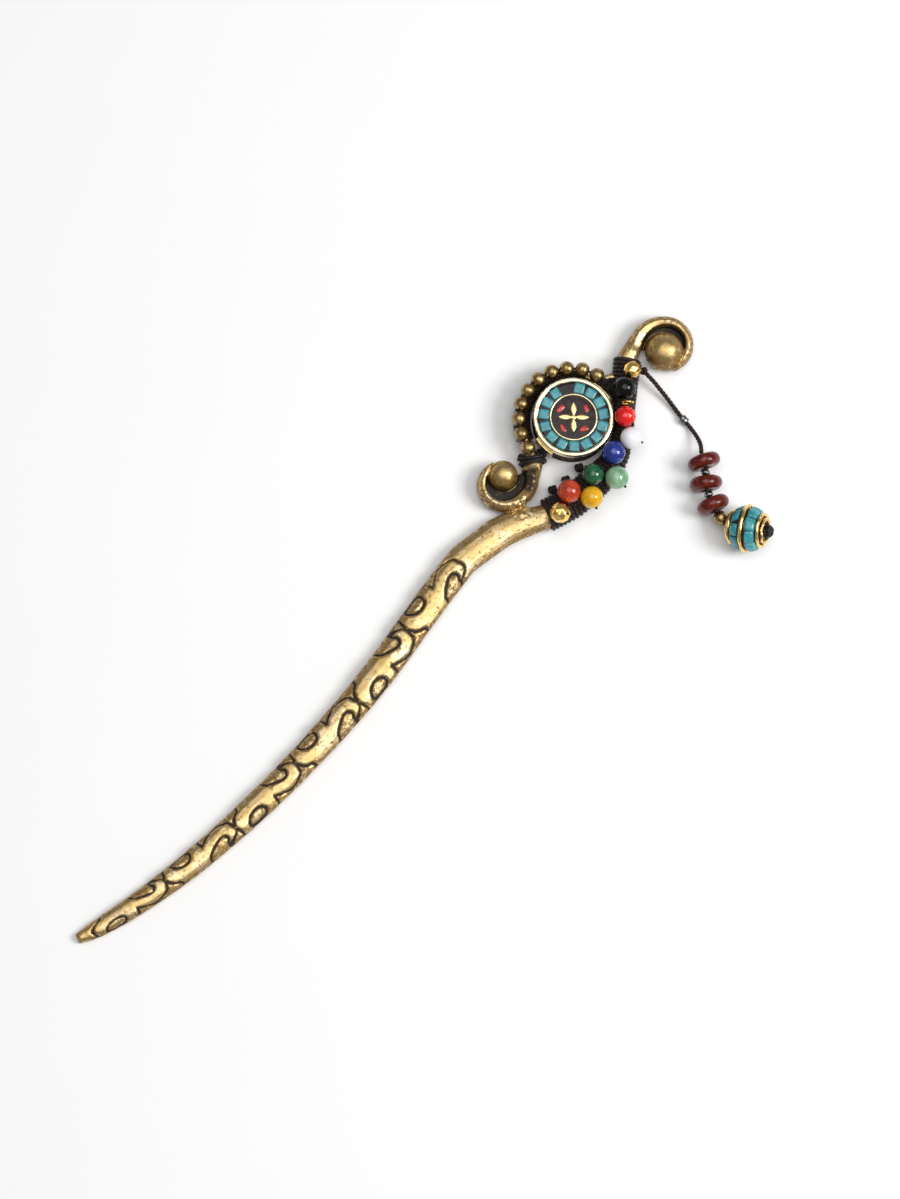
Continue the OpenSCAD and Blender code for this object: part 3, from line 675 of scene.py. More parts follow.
def knot_line(place, size, tilt, turns=(2, 3)):
    """A trefoil-like knot's line."""
    a = np.linspace(0, TAU, 64, endpoint=False)
    p, q = turns
    r = 0.62 + 0.30 * np.cos(q * a)
    line = np.stack([r * np.cos(p * a), r * np.sin(p * a), 0.42 * np.sin(q * a)], axis=1) * size
    turn = np.array(Matrix.Rotation(tilt[0], 3, "X") @ Matrix.Rotation(tilt[1], 3, "Z"))
    return line @ turn.T + place


# ---- The casting

SKIN_VOXEL = 0.16
SMOOTHING_PASSES = 8

# The cloud scroll on the prong, as outlines of its low ground: along the prong from its
# middle towards the tip, and across it, where 3.45 is the edge.
EDGE = 3.45
BAR_PITCH = 18.65
FIRST_BAR_X = -48.0
BARS = 6
BAR_TOP = [(-5.2, 4.8), (-6.12, 2.84), (-7.6, 2.3), (-8.75, 1.5), (-9.0, 0.6), (-8.75, -0.6), (-8.23, -1.94),
           (-5.51, -2.91), (-3.2, -2.4), (-1.03, -1.27)]
BAR_NOTCH = [(-1.03, -1.27), (-0.9, -2.3), (-0.78, -3.5), (-0.7, -4.8)]
BAR_END = [(6.4, 4.8), (6.62, 2.55), (8.3, 1.5), (9.3, -0.5), (8.74, -2.85), (8.5, -4.8)]
UPPER_EYE = [(-0.6, 4.8), (-0.95, 2.52), (-2.08, 1.33), (-4.47, 0.1), (-5.8, 0.0), (-6.5, 0.6), (-6.66, 1.52),
             (-6.2, 2.46), (-6.1, 4.8)]
LOWER_EYE = [(1.8, -1.9), (2.5, -0.8), (4.0, -0.45), (5.6, -0.9), (6.6, -2.0), (6.7, -3.1), (4.6, -3.6),
             (2.3, -3.1)]


def signed_distance(p, outline):
    """How far points are from a closed outline, negative inside."""
    a, b = outline, np.roll(outline, -1, 0)
    best = np.full(len(p), 1e9)
    inside = np.zeros(len(p), bool)
    for (x0, y0), (x1, y1) in zip(a, b):
        dx, dy = x1 - x0, y1 - y0
        t = np.clip(((p[:, 0] - x0) * dx + (p[:, 1] - y0) * dy) / max(dx * dx + dy * dy, 1e-12), 0, 1)
        best = np.minimum(best, np.hypot(p[:, 0] - x0 - t * dx, p[:, 1] - y0 - t * dy))
        crosses = (y0 > p[:, 1]) != (y1 > p[:, 1])
        if dy:
            inside ^= crosses & (p[:, 0] < x0 + (p[:, 1] - y0) * dx / dy)
    return np.where(inside, -best, best)


def ground_outlines(bar):
    """The low regions of one bar of the scroll, in its own coordinates."""
    top = catmull(BAR_TOP, 5)
    notch = catmull(BAR_NOTCH, 4)
    joint = 22
    outlines = [catmull(UPPER_EYE, 5), catmull(LOWER_EYE, 5, closed=True)]
    if bar:
        before = catmull([(s - BAR_PITCH, -t) for s, t in BAR_END], 5)
        left = before[before[:, 1] > 0.55][::-1]
        right = before[before[:, 1] <= 0.55]
        outlines.append(np.concatenate([right, top[joint:], notch]))
        outlines.append(np.concatenate([top[:joint], left]))
    else:
        line = np.concatenate([top, notch])
        outlines.append(np.concatenate([line, line[::-1] - (0.12, 0)]))
    if bar == BARS - 1:
        end = catmull(BAR_END, 5)
        outlines.append(np.concatenate([end, end[::-1] + (0.45, 0)]))
    return outlines


def prong_relief(co, lift, darkening):
    """Lowers the ground of the scroll on the prong, where lift is how much a point may move."""
    on_prong = np.where(co[:, 0] < -37)[0]
    x, y = co[on_prong, 0], co[on_prong, 1]
    stations = np.arange(x.min() + 0.5, -36.5, 1.0)
    middle, half = [], []
    for at in stations:
        near = y[np.abs(x - at) < 0.5]
        middle.append((near.min() + near.max()) / 2)
        half.append((near.max() - near.min()) / 2)
    kernel = np.ones(7) / 7
    middle = np.convolve(np.pad(middle, 3, mode="edge"), kernel, "valid")
    slope = np.gradient(middle, stations)
    along = np.concatenate([[0], np.cumsum(np.hypot(np.diff(stations), np.diff(middle)))])
    cos = 1 / np.hypot(1, slope)
    half = np.convolve(np.pad(half, 3, mode="edge"), kernel, "valid") * cos
    dy = y - np.interp(x, stations, middle)
    c = np.interp(x, stations, cos)
    where = np.interp(x, stations, along) + dy * np.interp(x, stations, slope) * c
    width = np.interp(x, stations, half)
    across = dy * c * EDGE / width
    start = np.interp(FIRST_BAR_X, stations, along)
    for bar in range(BARS):
        flip = -1 if bar % 2 == 0 else 1
        local = np.stack([start - bar * BAR_PITCH - where, across * flip], axis=1)
        near = np.where(np.abs(local[:, 0]) < 12.5)[0]
        depth = np.zeros(len(near))
        dark = np.zeros(len(near))
        for outline in ground_outlines(bar):
            d = signed_distance(local[near], outline)
            groove = np.exp(-((d + 0.16) / 0.39) ** 2)
            ground = smoothstep(0.12, -0.35, d)
            depth = np.maximum(depth, 0.45 * groove + 0.2 * ground * (1 - groove))
            dark = np.maximum(dark, np.maximum(1.4 * groove, 0.42 * ground))
        index = on_prong[near]
        lift[index] = np.maximum(lift[index], depth * np.clip(width[near] / EDGE, 0.5, 1))
        darkening[index] = np.maximum(darkening[index], dark)


def scroll_shape(co, up, ball, neck, ball_r, close_at, dull_to, darkening):
    """Gives one scroll its crest, its polished facet and its dark recess round the ball.

    The recess closes where the scroll has swept close_at; the facet is dull up to dull_to.
    """
    dx, dy = co[:, 0] - ball[0], co[:, 1] - ball[1]
    r = np.hypot(dx, dy)
    swept = (neck - np.degrees(np.arctan2(dy, dx))) % 360
    k = np.clip((swept - 110) / 160, 0, 1)
    r_out = ball_r + RECESS + (SCROLL_R - ball_r - RECESS) * (1 + np.cos(math.pi * k)) / 2
    slope_w = np.minimum(1.45 - 0.35 * k, (r_out - ball_r) * 0.7 + 0.2)
    facet_w = 1.3 - 0.85 * smoothstep(20, 150, swept)
    top = BACK_Z + SHAFT_T + 0.25
    floor = BACK_Z + 1.1
    d = r_out - r
    shoulder = BACK_Z + 0.3 * SHAFT_T
    outer = shoulder + (top - shoulder) * np.sqrt(np.clip(1 - (np.clip(slope_w - d, 0, None) / slope_w) ** 2,
                                                          0, 1))
    facet = top - 0.35 * np.clip(d - slope_w, 0, None)
    still_open = smoothstep(close_at + 6, close_at - 22, swept)
    drop = smoothstep(slope_w + facet_w, slope_w + facet_w + 0.45, d) * still_open
    target = np.where(d < slope_w, outer, facet * (1 - drop) + floor * drop)
    lip = np.exp(-((r - ball_r - 0.30) / 0.13) ** 2) * smoothstep(15, 30, swept) * smoothstep(130, 90, swept)
    target = target + 0.7 * lip * (drop > 0.5)
    share = (smoothstep(12, 30, swept) * smoothstep(264, 240, swept) * smoothstep(-0.05, 0.25, d)
             * smoothstep(ball_r - 0.02, ball_r + 0.12, r))
    share = share * smoothstep(-0.1, 0.3, up) * (co[:, 2] > BACK_Z + 0.5)
    raised = co[:, 2] + (target - co[:, 2]) * share
    near = (r < ball_r + 1.2) & (r > ball_r + 0.05) & (swept > 8) & (swept < close_at - 10)
    raised = np.where(near & (raised > floor) & (d > slope_w + facet_w + 0.3) & (share < 0.9),
                      np.minimum(raised, np.maximum(target, floor)), raised)
    in_recess = smoothstep(0.15, 0.6, drop) * (share > 0.2) * (1 - 0.8 * lip)
    darkening[:] = np.maximum(darkening, in_recess * 1.2)
    ball_foot = (r < ball_r + 0.1) & (raised < BACK_Z + 3.0) & (swept < close_at + 5)
    darkening[:] = np.maximum(darkening, ball_foot * 0.95 * smoothstep(BACK_Z + 3.0, BACK_Z + 1.8, raised))
    # Painted shade: the scroll's outer slope is darkened a little.
    on_slope = (share > 0.2) * smoothstep(slope_w + 0.05, slope_w - 0.25, d)
    darkening[:] = np.maximum(darkening, on_slope * 0.33)
    dull = (share > 0.2) * smoothstep(dull_to, dull_to - 25, swept) * smoothstep(0.55, 1.0, d)
    darkening[:] = np.maximum(darkening, dull * 0.95)
    return raised


def make_casting(look):
    """The casting: the CAD solid as one even skin, then its relief, crests and recesses."""
    source = NODES["frame"]
    mesh = source.data.copy()
    mesh.transform(Matrix.Scale(1 / MM, 4))
    work = bpy.data.objects.new("casting_work", mesh)
    bpy.context.scene.collection.objects.link(work)
    floors = []
    for ball, ball_r, neck, close_at in ((UPPER_BALL, UPPER_BALL_R, UPPER_NECK, 205),
                                         (LOWER_BALL, LOWER_BALL_R, LOWER_NECK, 235)):
        angles = np.radians(neck - np.linspace(22, close_at, 60))
        rim = [(0.0, 0.0)] + [((ball_r + 0.9) * math.cos(a), (ball_r + 0.9) * math.sin(a)) for a in angles]
        n = len(rim)
        points = [(x + ball[0], y + ball[1], BACK_Z + z) for z in (0.02, 1.2) for x, y in rim]
        faces = [tuple(range(n)), tuple(range(n, 2 * n))[::-1]]
        faces += [(k, k + n, (k + 1) % n + n, (k + 1) % n) for k in range(n)]
        floor = bpy.data.meshes.new("scroll_floor")
        floor.from_pydata([tuple(p) for p in points], [], faces)
        obj = bpy.data.objects.new("scroll_floor", floor)
        bpy.context.scene.collection.objects.link(obj)
        floors.append(obj)
    with bpy.context.temp_override(active_object=work, object=work, selected_objects=[work] + floors,
                                   selected_editable_objects=[work] + floors):
        bpy.ops.object.join()
    skin = work.modifiers.new("skin", "REMESH")
    skin.mode = "VOXEL"
    skin.voxel_size = SKIN_VOXEL
    even = bpy.data.meshes.new_from_object(work.evaluated_get(bpy.context.evaluated_depsgraph_get()))
    bpy.data.objects.remove(work)
    n = len(even.vertices)
    co = np.zeros(n * 3)
    even.vertices.foreach_get("co", co)
    co = co.reshape(-1, 3)
    edges = np.zeros(len(even.edges) * 2, np.int64)
    even.edges.foreach_get("vertices", edges)
    edges = edges.reshape(-1, 2)
    count = np.bincount(edges.ravel(), minlength=n)[:, None]
    for _ in range(SMOOTHING_PASSES):
        total = np.zeros_like(co)
        np.add.at(total, edges[:, 0], co[edges[:, 1]])
        np.add.at(total, edges[:, 1], co[edges[:, 0]])
        co = co * 0.4 + 0.6 * total / count
    even.vertices.foreach_set("co", co.ravel())
    even.update()
    normal = np.zeros(n * 3, np.float32)
    even.vertices.foreach_get("normal", normal)
    normal = normal.reshape(-1, 3).astype(float)
    # Painted shade: every slope is darkened by its tilt away from straight up; the grooves and recesses below get the
    # casting's real patina.
    darkening = 0.62 * smoothstep(0.96, 0.58, normal[:, 2])
    lift = np.zeros(n)
    prong_relief(co, lift, darkening)
    facing = smoothstep(-0.3, 0.45, normal[:, 2])
    co = co - normal * (lift * facing)[:, None]
    darkening = np.where((lift > 0.05) & (facing < 0.5), 0.45, darkening)
    co[:, 2] = scroll_shape(co, normal[:, 2], UPPER_BALL, UPPER_NECK, UPPER_BALL_R, 192, 0, darkening)
    co[:, 2] = scroll_shape(co, normal[:, 2], LOWER_BALL, LOWER_NECK, LOWER_BALL_R, 230, 85, darkening)
    bridge = LOWER_BALL + (-2.3, -SCROLL_R)
    rough = np.exp(-(np.hypot(co[:, 0] - bridge[0], co[:, 1] - bridge[1]) / 2.4) ** 4)
    near = np.where(rough > 0.05)[0]
    bumps = numpy_noise(co[near], 0.9, 3.0) + 0.5 * numpy_noise(co[near], 2.2, 5.0)
    co[near] += normal[near] * (0.42 * bumps * rough[near])[:, None]
    darkening[near] = np.maximum(darkening[near] * (1 - rough[near]),
                              0.5 * smoothstep(0.1, -0.35, bumps) * rough[near])
    co[:, 2] = np.maximum(co[:, 2], 0.0)
    faces = [tuple(p.vertices) for p in even.polygons]
    bpy.data.meshes.remove(even)
    return piece("casting", co, faces, look, "frame", attributes={"darkening": darkening})


# ---- The bindings and their knots


def make_bindings(looks):
    arm = [arm_row(*row) for row in ARM]
    make_winding("lower_winding", "binding_lower", arm[2:8], BIND_D, 0.9, looks["waxed_cord"])
    make_winding("upper_winding", "binding_upper", arm[7:10], BIND_D, 0.9, looks["waxed_cord"])
    loop = [loop_row(a) for a in range(26, 159, 12)]
    make_winding("loop_winding", "loop_binding", loop, THIN_BIND_D, 0.66, looks["thin_cord"])
    neck = [around(2.95, 176.5) + [3.02, 2.2], around(3.8, 183.5) + [4.2, 2.8]]
    line = winding(neck, BIND_D, 0.8)
    collar = Parts()
    points, faces, uv = tube(line, BIND_D / 2, 8)
    points[:, 2] = np.maximum(points[:, 2], 0.0)
    collar.add(points, faces)
    for x, y, z, size in ((-13.4, 1.9, 2.6, 0.8), (-9.9, -0.4, 3.0, 1.0), (-10.6, -0.9, 2.2, 0.8),
                          (-13.9, 0.9, 2.0, 0.7)):
        collar.add(*tube(knot_line(np.array([x, y, z]), size, (x, z)), 0.36, 7, closed=True)[:2])
    collar.piece("collar_winding", looks["thread"], "collar_binding")

    knots = Parts()
    for place in solids_of("binding_knots"):
        for tilt in ((0.5, 0.3), (1.9, 1.2)):
            line = knot_line(place, 0.86, tilt)
            knots.add(*tube(line, 0.34, 7, closed=True))
    knots.piece("winding_knots", looks["black_cord"], "binding_knots")

    tie = Parts()
    place = centre("macrame_knot")
    for shift, tilt in (((0, 0.3, 0.5), (0.4, 0.2)), ((0.3, -1.0, 0.3), (1.2, 0.8)),
                        ((-0.3, 1.3, 0.1), (2.1, 1.9)),
                        ((0.6, 0.6, -0.7), (0.9, 2.5))):
        line = knot_line(place + shift, 1.15, tilt)
        tie.add(*tube(line, 0.42, 8, closed=True))
    tie.piece("tie_knot", looks["black_cord"], "macrame_knot")


def solids_of(node):
    """The centres of a node's separate solids."""
    mesh = NODES[node].data
    parent = list(range(len(mesh.vertices)))

    def root(i):
        while parent[i] != i:
            parent[i] = parent[parent[i]]
            i = parent[i]
        return i

    where = {}
    for v in mesh.vertices:
        key = tuple(round(c / MM, 3) for c in v.co)
        if key in where:
            parent[root(v.index)] = root(where[key])
        where[key] = v.index
    for e in mesh.edges:
        parent[root(e.vertices[0])] = root(e.vertices[1])
    groups = {}
    for v in mesh.vertices:
        groups.setdefault(root(v.index), []).append(np.array(v.co) / MM)
    boxes = [(np.min(g, 0) + np.max(g, 0)) / 2 for g in groups.values()]
    return sorted(boxes, key=lambda b: tuple(np.round(b, 3)))


# ---- The medallion

TILE_SLOTS = 15
FIRST_TILE = 34
INLAY_TOP = MEDALLION_TOP - 0.15
INNER_RING_R = (corners("medallion_inner_ring")[1][0] - corners("medallion_inner_ring")[0][0]) / 2
RIM_W = 1.0
TILE_R = (INNER_RING_R + MEDALLION_R - RIM_W) / 2


def on_face(angle, radius, twist):
    """Places a tile flat on the medallion's face."""
    turn = turned(angle)
    spin = turned(twist)

    def place(u, v, z):
        p = spin @ np.array([u, v, 0]) + (radius, 0, 0)
        return turn @ p + (0, 0, INLAY_TOP + z)

    return place


def make_medallion(looks):
    tiles = Parts()
    for i in range(TILE_SLOTS - 1):
        twist = 6 * math.sin(math.radians(130 * i)) + rng.normal(0, 1.5)
        place = on_face(FIRST_TILE - i * 360 / TILE_SLOTS, TILE_R + rng.normal(0, 0.03), twist)
        half = 1.07 + rng.normal(0, 0.035)
        points, faces = pillow(place, half, 1.07 + rng.normal(0, 0.035), 0.75, soft=0.13)
        tiles.add(wobble(points, 0.035, 1.1, i), faces)
    tiles.piece("turquoise_inlay", looks["turquoise"], "turquoise_tiles")

    chips = Parts()
    for i, angle in enumerate((-12, 102, 181, 265)):
        points, faces = pillow(on_face(angle, 3.3, 75), 1.1, 0.6, 0.75, soft=0.2, power=3)
        chips.add(wobble(points, 0.07, 1.3, i + 20), faces)
    chips.piece("coral_inlay", looks["coral"], "coral_chips")

    side = MEDALLION_R - 0.25
    hole = 0.6
    rows = [(0.02, 0.5), (7.05, 0.5), (7.05, 0.05), (side - 0.15, 0.05), (side, 0.25), (side + 0.04, 0.9),
            (side - 0.10, 1.1), (side, 2.0), (side, 4.4), (side + 0.05, 4.9), (side - 0.05, 5.35),
            (MEDALLION_R - RIM_W, 5.45), (MEDALLION_R - RIM_W, MEDALLION_TOP - 0.45),
            (7.2, MEDALLION_TOP - 0.30), (6.4, MEDALLION_TOP - 0.36), (5.4, MEDALLION_TOP - 0.34),
            (4.6, MEDALLION_TOP - 0.36), (3.6, MEDALLION_TOP - 0.26), (2.0, MEDALLION_TOP - 0.24),
            (0.02, MEDALLION_TOP - 0.24)]
    fine = []
    for (r0, z0), (r1, z1) in zip(rows, rows[1:]):
        steps = max(1, int(math.hypot(r1 - r0, z1 - z0) / 0.35))
        fine += [(r0 + (r1 - r0) * k / steps, z0 + (z1 - z0) * k / steps) for k in range(steps)]
    fine.append(rows[-1])
    points, faces = lathe(fine, 160)
    for i, p in enumerate(points):
        if p[2] > 0.6:
            points[i] += np.array(noise.noise_vector(Vector(p * 0.8))) * 0.06
    on_wall = (np.hypot(points[:, 0], points[:, 1]) > 7.8).astype(float)
    piece("resin_body", points, faces, looks["resin"], "medallion_core", attributes={"wall": on_wall})

    outer, inner = MEDALLION_R, MEDALLION_R - RIM_W
    low = corners("medallion_rim")[0][2]
    section = [(outer, low), (outer + 0.02, low + 0.6), (outer, MEDALLION_TOP - 0.30),
               (outer - 0.12, MEDALLION_TOP - 0.08),
               (outer - 0.32, MEDALLION_TOP), (inner + 0.30, MEDALLION_TOP - 0.02),
               (inner + 0.08, MEDALLION_TOP - 0.14),
               (inner, MEDALLION_TOP - 0.40), (inner, low)]
    points, faces = lathe(catmull(section, 3), 180)
    for i, p in enumerate(points):
        r = math.hypot(p[0], p[1])
        inward = smoothstep(inner + 0.5, inner, r)
        wave = noise.noise(Vector((p[0] * 0.55, p[1] * 0.55, 4.0))) * 0.20
        scale = 1 + inward * wave / r
        points[i] = (p[0] * scale, p[1] * scale, p[2] + 0.05 * noise.noise(Vector((p[0] * 0.8, p[1] * 0.8,
                                                                                   9.0))))
    piece("brass_rim", points, faces, looks["rim"], "medallion_rim")

    ring_r = INNER_RING_R - 0.225
    line = [(ring_r * math.cos(a), ring_r * math.sin(a), INLAY_TOP - 0.12) for a in np.linspace(0, TAU, 120, endpoint=False)]
    line = wobble(line, 0.05, 0.7, 2.0)
    points, faces, _ = tube(line, 0.24, 10, closed=True)
    piece("inner_ring", points, faces, looks["rim"], "medallion_inner_ring")

    rosette = Parts()
    for i in range(4):
        rosette.add(*petal(45 + 90 * i))
    points, faces = pillow(on_face(0, 0, 0), 0.62, 0.62, 0.7, soft=0.2, power=4)
    rosette.add(points, faces)
    rosette.piece("rosette", looks["motif"], "rosette_motif")


def petal(angle):
    """One pointed petal with a domed face and a crease along it."""
    n = 14
    turn = turned(angle)
    points, faces = [], []
    length, half_w = 2.9, 0.62
    for i in range(n + 1):
        t = i / n
        x = 0.32 + length * t
        w = half_w * math.sin(math.pi * min(max(t, 0.02), 0.985)) ** 0.8 + 0.03
        for v in (-1, -0.8, -0.4, 0, 0.4, 0.8, 1):
            z = 0.03 - 0.16 * abs(v) ** 3 - 0.07 * math.exp(-(v / 0.22) ** 2)
            points.append(turn @ np.array([x, v * w, 0]) + (0, 0, INLAY_TOP + z))
        for v in (1, -1):
            points.append(turn @ np.array([x, v * w, 0]) + (0, 0, INLAY_TOP - 0.7))
    m = 9
    for i in range(n):
        for k in range(m):
            a, b = i * m + k, i * m + (k + 1) % m
            faces.append((a, b, b + m, a + m))
    faces.append(tuple(range(m))[::-1])
    faces.append(tuple(n * m + k for k in range(m)))
    return np.array(points), faces


# ---- Beads

# The direction that each bead's hole runs in, on the plane of the pin
HOLE = {"gold_bead_upper": -20, "onyx_bead": 100, "red_bead": 92, "white_bead": -65, "lapis_bead": -70,
        "dark_green_bead": -94, "light_green_bead": -90, "carnelian_bead": -125, "amber_bead": -110,
        "gold_bead_lower": -70}
FACETED = {"gold_bead_upper": ("gold", 9), "gold_bead_lower": ("gold", 9), "red_bead": ("red_bead", 14)}


def flat_direction(angle):
    return np.array([math.cos(math.radians(angle)), math.sin(math.radians(angle)), 0])


def bead_radius(node):
    low, high = corners(node)
    return (high[2] - low[2]) / 2


def make_stones(looks):
    for node, angle in HOLE.items():
        r = bead_radius(node)
        turn = aim(flat_direction(angle))
        if node in FACETED:
            look, around_count = FACETED[node]
            rows = 5 if look == "gold" else 8
            arc = np.linspace(0.36, math.pi - 0.36, rows)
            profile = [(r * 1.01 * math.sin(a), r * 1.01 * math.cos(a)) for a in arc]
            profile += [(0.45, profile[-1][1] * 0.97), (0.45, profile[0][1] * 0.97)]
            if len(profile) % 2:
                profile.insert(-1, (0.45, 0))
            points, faces = lathe(profile, around_count, stagger=True)
            obj = piece(node.replace("bead", "cut_bead"), points @ turn.T + centre(node), faces, looks[look],
                        node,
                        smooth=False)
            bevel = obj.modifiers.new("soft_edges", "BEVEL")
            bevel.width = 0.07 * MM
            bevel.segments = 2
            bevel.limit_method = "ANGLE"
            bevel.angle_limit = math.radians(12)
        else:
            points, faces = lathe(bead_profile(r, 0.45), 56)
            points = wobble(points, 0.05, 0.5, angle)
            piece("polished_" + node, points @ turn.T + centre(node), faces, looks[node], node)


def make_ring_beads(looks):
    for node in sorted(n for n in NODES if n.startswith("ring_bead_") and n != "ring_bead_thread"):
        r = bead_radius(node)
        at = centre(node)
        out = at[:2] - LOOP_CENTRE
        turn = aim((-out[1], out[0], 0))
        points, faces = lathe(bead_profile(r * 1.02, 0.45, lip=0.2), 48)
        points = wobble(points, 0.05, 0.8, float(node.split("_")[-1]))
        piece("brass_" + node, points @ turn.T + at, faces, looks["bead_brass"], node)


def keep(node, look):
    """Gives a CAD node that stays its finish."""
    obj = NODES[node]
    if obj.material_slots:
        for s in obj.material_slots:
            s.material = look
    else:
        obj.data.materials.append(look)


def make_small_trim(looks):
    for node in ("end_plate_left", "end_plate_right", "medallion_back_plate"):
        keep(node, looks["plate"])
        bevel = NODES[node].modifiers.new("soft_edges", "BEVEL")
        bevel.width = 0.08 * MM
        bevel.segments = 2
        bevel.limit_method = "ANGLE"
    for node in ("ring_bead_thread", "medallion_cord"):
        keep(node, looks["thread"])
    stitches = Parts()
    for node, angle in HOLE.items():
        out, at, r = flat_direction(angle), centre(node), bead_radius(node) + 0.22
        sweep = np.radians(np.concatenate([np.linspace(62, 0, 9), np.linspace(0, 62, 9)]))
        side = np.repeat([-1, 1], 9)
        line = [at + r * (s * out * math.cos(a) - np.array([0, 0, math.sin(a)])) for s, a in zip(side, sweep)]
        points, faces, _ = tube(line, 0.17, 8)
        stitches.add(points, faces)
    stitches.piece("stitches", looks["thread"], "bead_stitches")

    at = centre("spacer_ring")
    turn = aim(np.array([1, 1, 0]) / math.sqrt(2))
    line = np.array([(1.2 * math.cos(a), 1.2 * math.sin(a), 0) for a in np.linspace(0, TAU, 48, endpoint=False)])
    points, faces, _ = tube(line @ turn.T + at, 0.2, 10, closed=True)
    piece("thin_gold_ring", points, faces, looks["gold"], "spacer_ring")


# ---- The dangle

KNOT_AT = np.array([18.6, -2.9, 3.2])
CRIMP_AT = np.array([17.7, -16.2, 1.0])
DISC_ROUTE = [[(14.4, -24.5, 3.6), (13, -27.2, 3.6)],
              [(11.5, -28.3, 3.6), (9.7, -30.7, 3.6)],
              [(9, -32.4, 3.6), (7.9, -35.2, 3.6)]]
BRASS_ROUTE = [(7.7, -35.5, 3.6), (7.4, -38.4, 3.5)]
BALL_ROUTE = [(7.9, -39.9, 3.6), (11.5, -45.5, 6.4)]
CORD_ROUTE = [(18.6, -3.75, 3.2), (18.6, -6, 2.9), (18.5, -8, 2.3), (18.4, -10, 1.7), (18.2, -12, 1.2),
              (17.9, -14.3, 1), (17.8, -15.1, 1), (17.7, -16.2, 1), (17.6, -17.3, 1), (17.3, -19.2, 1.2),
              (16.7, -21.2, 2.1), (15.8, -22.9, 3), *DISC_ROUTE[0], *DISC_ROUTE[1], *DISC_ROUTE[2],
              *BRASS_ROUTE, *BALL_ROUTE]
CORD_D = 1.0


def make_dangle_cord(look):
    """The limp cord: three strands twisted together along the route."""
    path = spaced(catmull(CORD_ROUTE, 10), 0.16)
    ahead = np.gradient(path, axis=0)
    t = ahead / np.linalg.norm(ahead, axis=1)[:, None]
    side = np.cross(t, (0, 0, 1.0))
    side /= np.linalg.norm(side, axis=1)[:, None]
    up = np.cross(side, t)
    along = np.concatenate([[0], np.cumsum(np.linalg.norm(np.diff(path, axis=0), axis=1))])
    strand_r = 0.464 * CORD_D / 2
    lay = 2.6
    strands = Parts()
    for i in range(3):
        a = TAU * (along / lay + i / 3)
        line = path + (CORD_D / 2 - strand_r) * (side * np.cos(a)[:, None] + up * np.sin(a)[:, None])
        points, faces, _ = tube(line, strand_r * 1.04, 8)
        strands.add(points, faces)
    cord = strands.piece("dangle_cord_rope", look, ["dangle_cord_upper", "dangle_cord_lower"], ride=False)
    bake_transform(cord)
    return cord, path, along[-1]


def on_pair(pair):
    """The middle of a bead's hole and the rotation that turns Z along it."""
    a, b = np.array(pair[0], float), np.array(pair[1], float)
    return (a + b) / 2, aim(b - a)


def disc_profile(r, t, bore):
    """A flattened round disc with softened sides."""
    arc = []
    for a in np.linspace(0, math.pi, 25):
        x = r - t / 2 + t / 2 * math.sin(a) ** 0.9
        arc.append((x, t / 2 * math.cos(a) * (0.97 + 0.03 * math.sin(a))))
    face = [(bore + 0.15, t / 2 * 0.88), (bore + 0.7, t / 2 * 0.97), (r * 0.42, t / 2)]
    under = [(x, -z) for x, z in reversed(face)]
    return face + arc + under + [(bore, -t / 2 * 0.7), (bore, 0), (bore, t / 2 * 0.7)]


def mosaic_point(turn, at, radius, azimuth, z):
    flat = math.sqrt(max(radius * radius - z * z, 0.01))
    return turn @ np.array([flat * math.cos(azimuth), flat * math.sin(azimuth), z]) + at


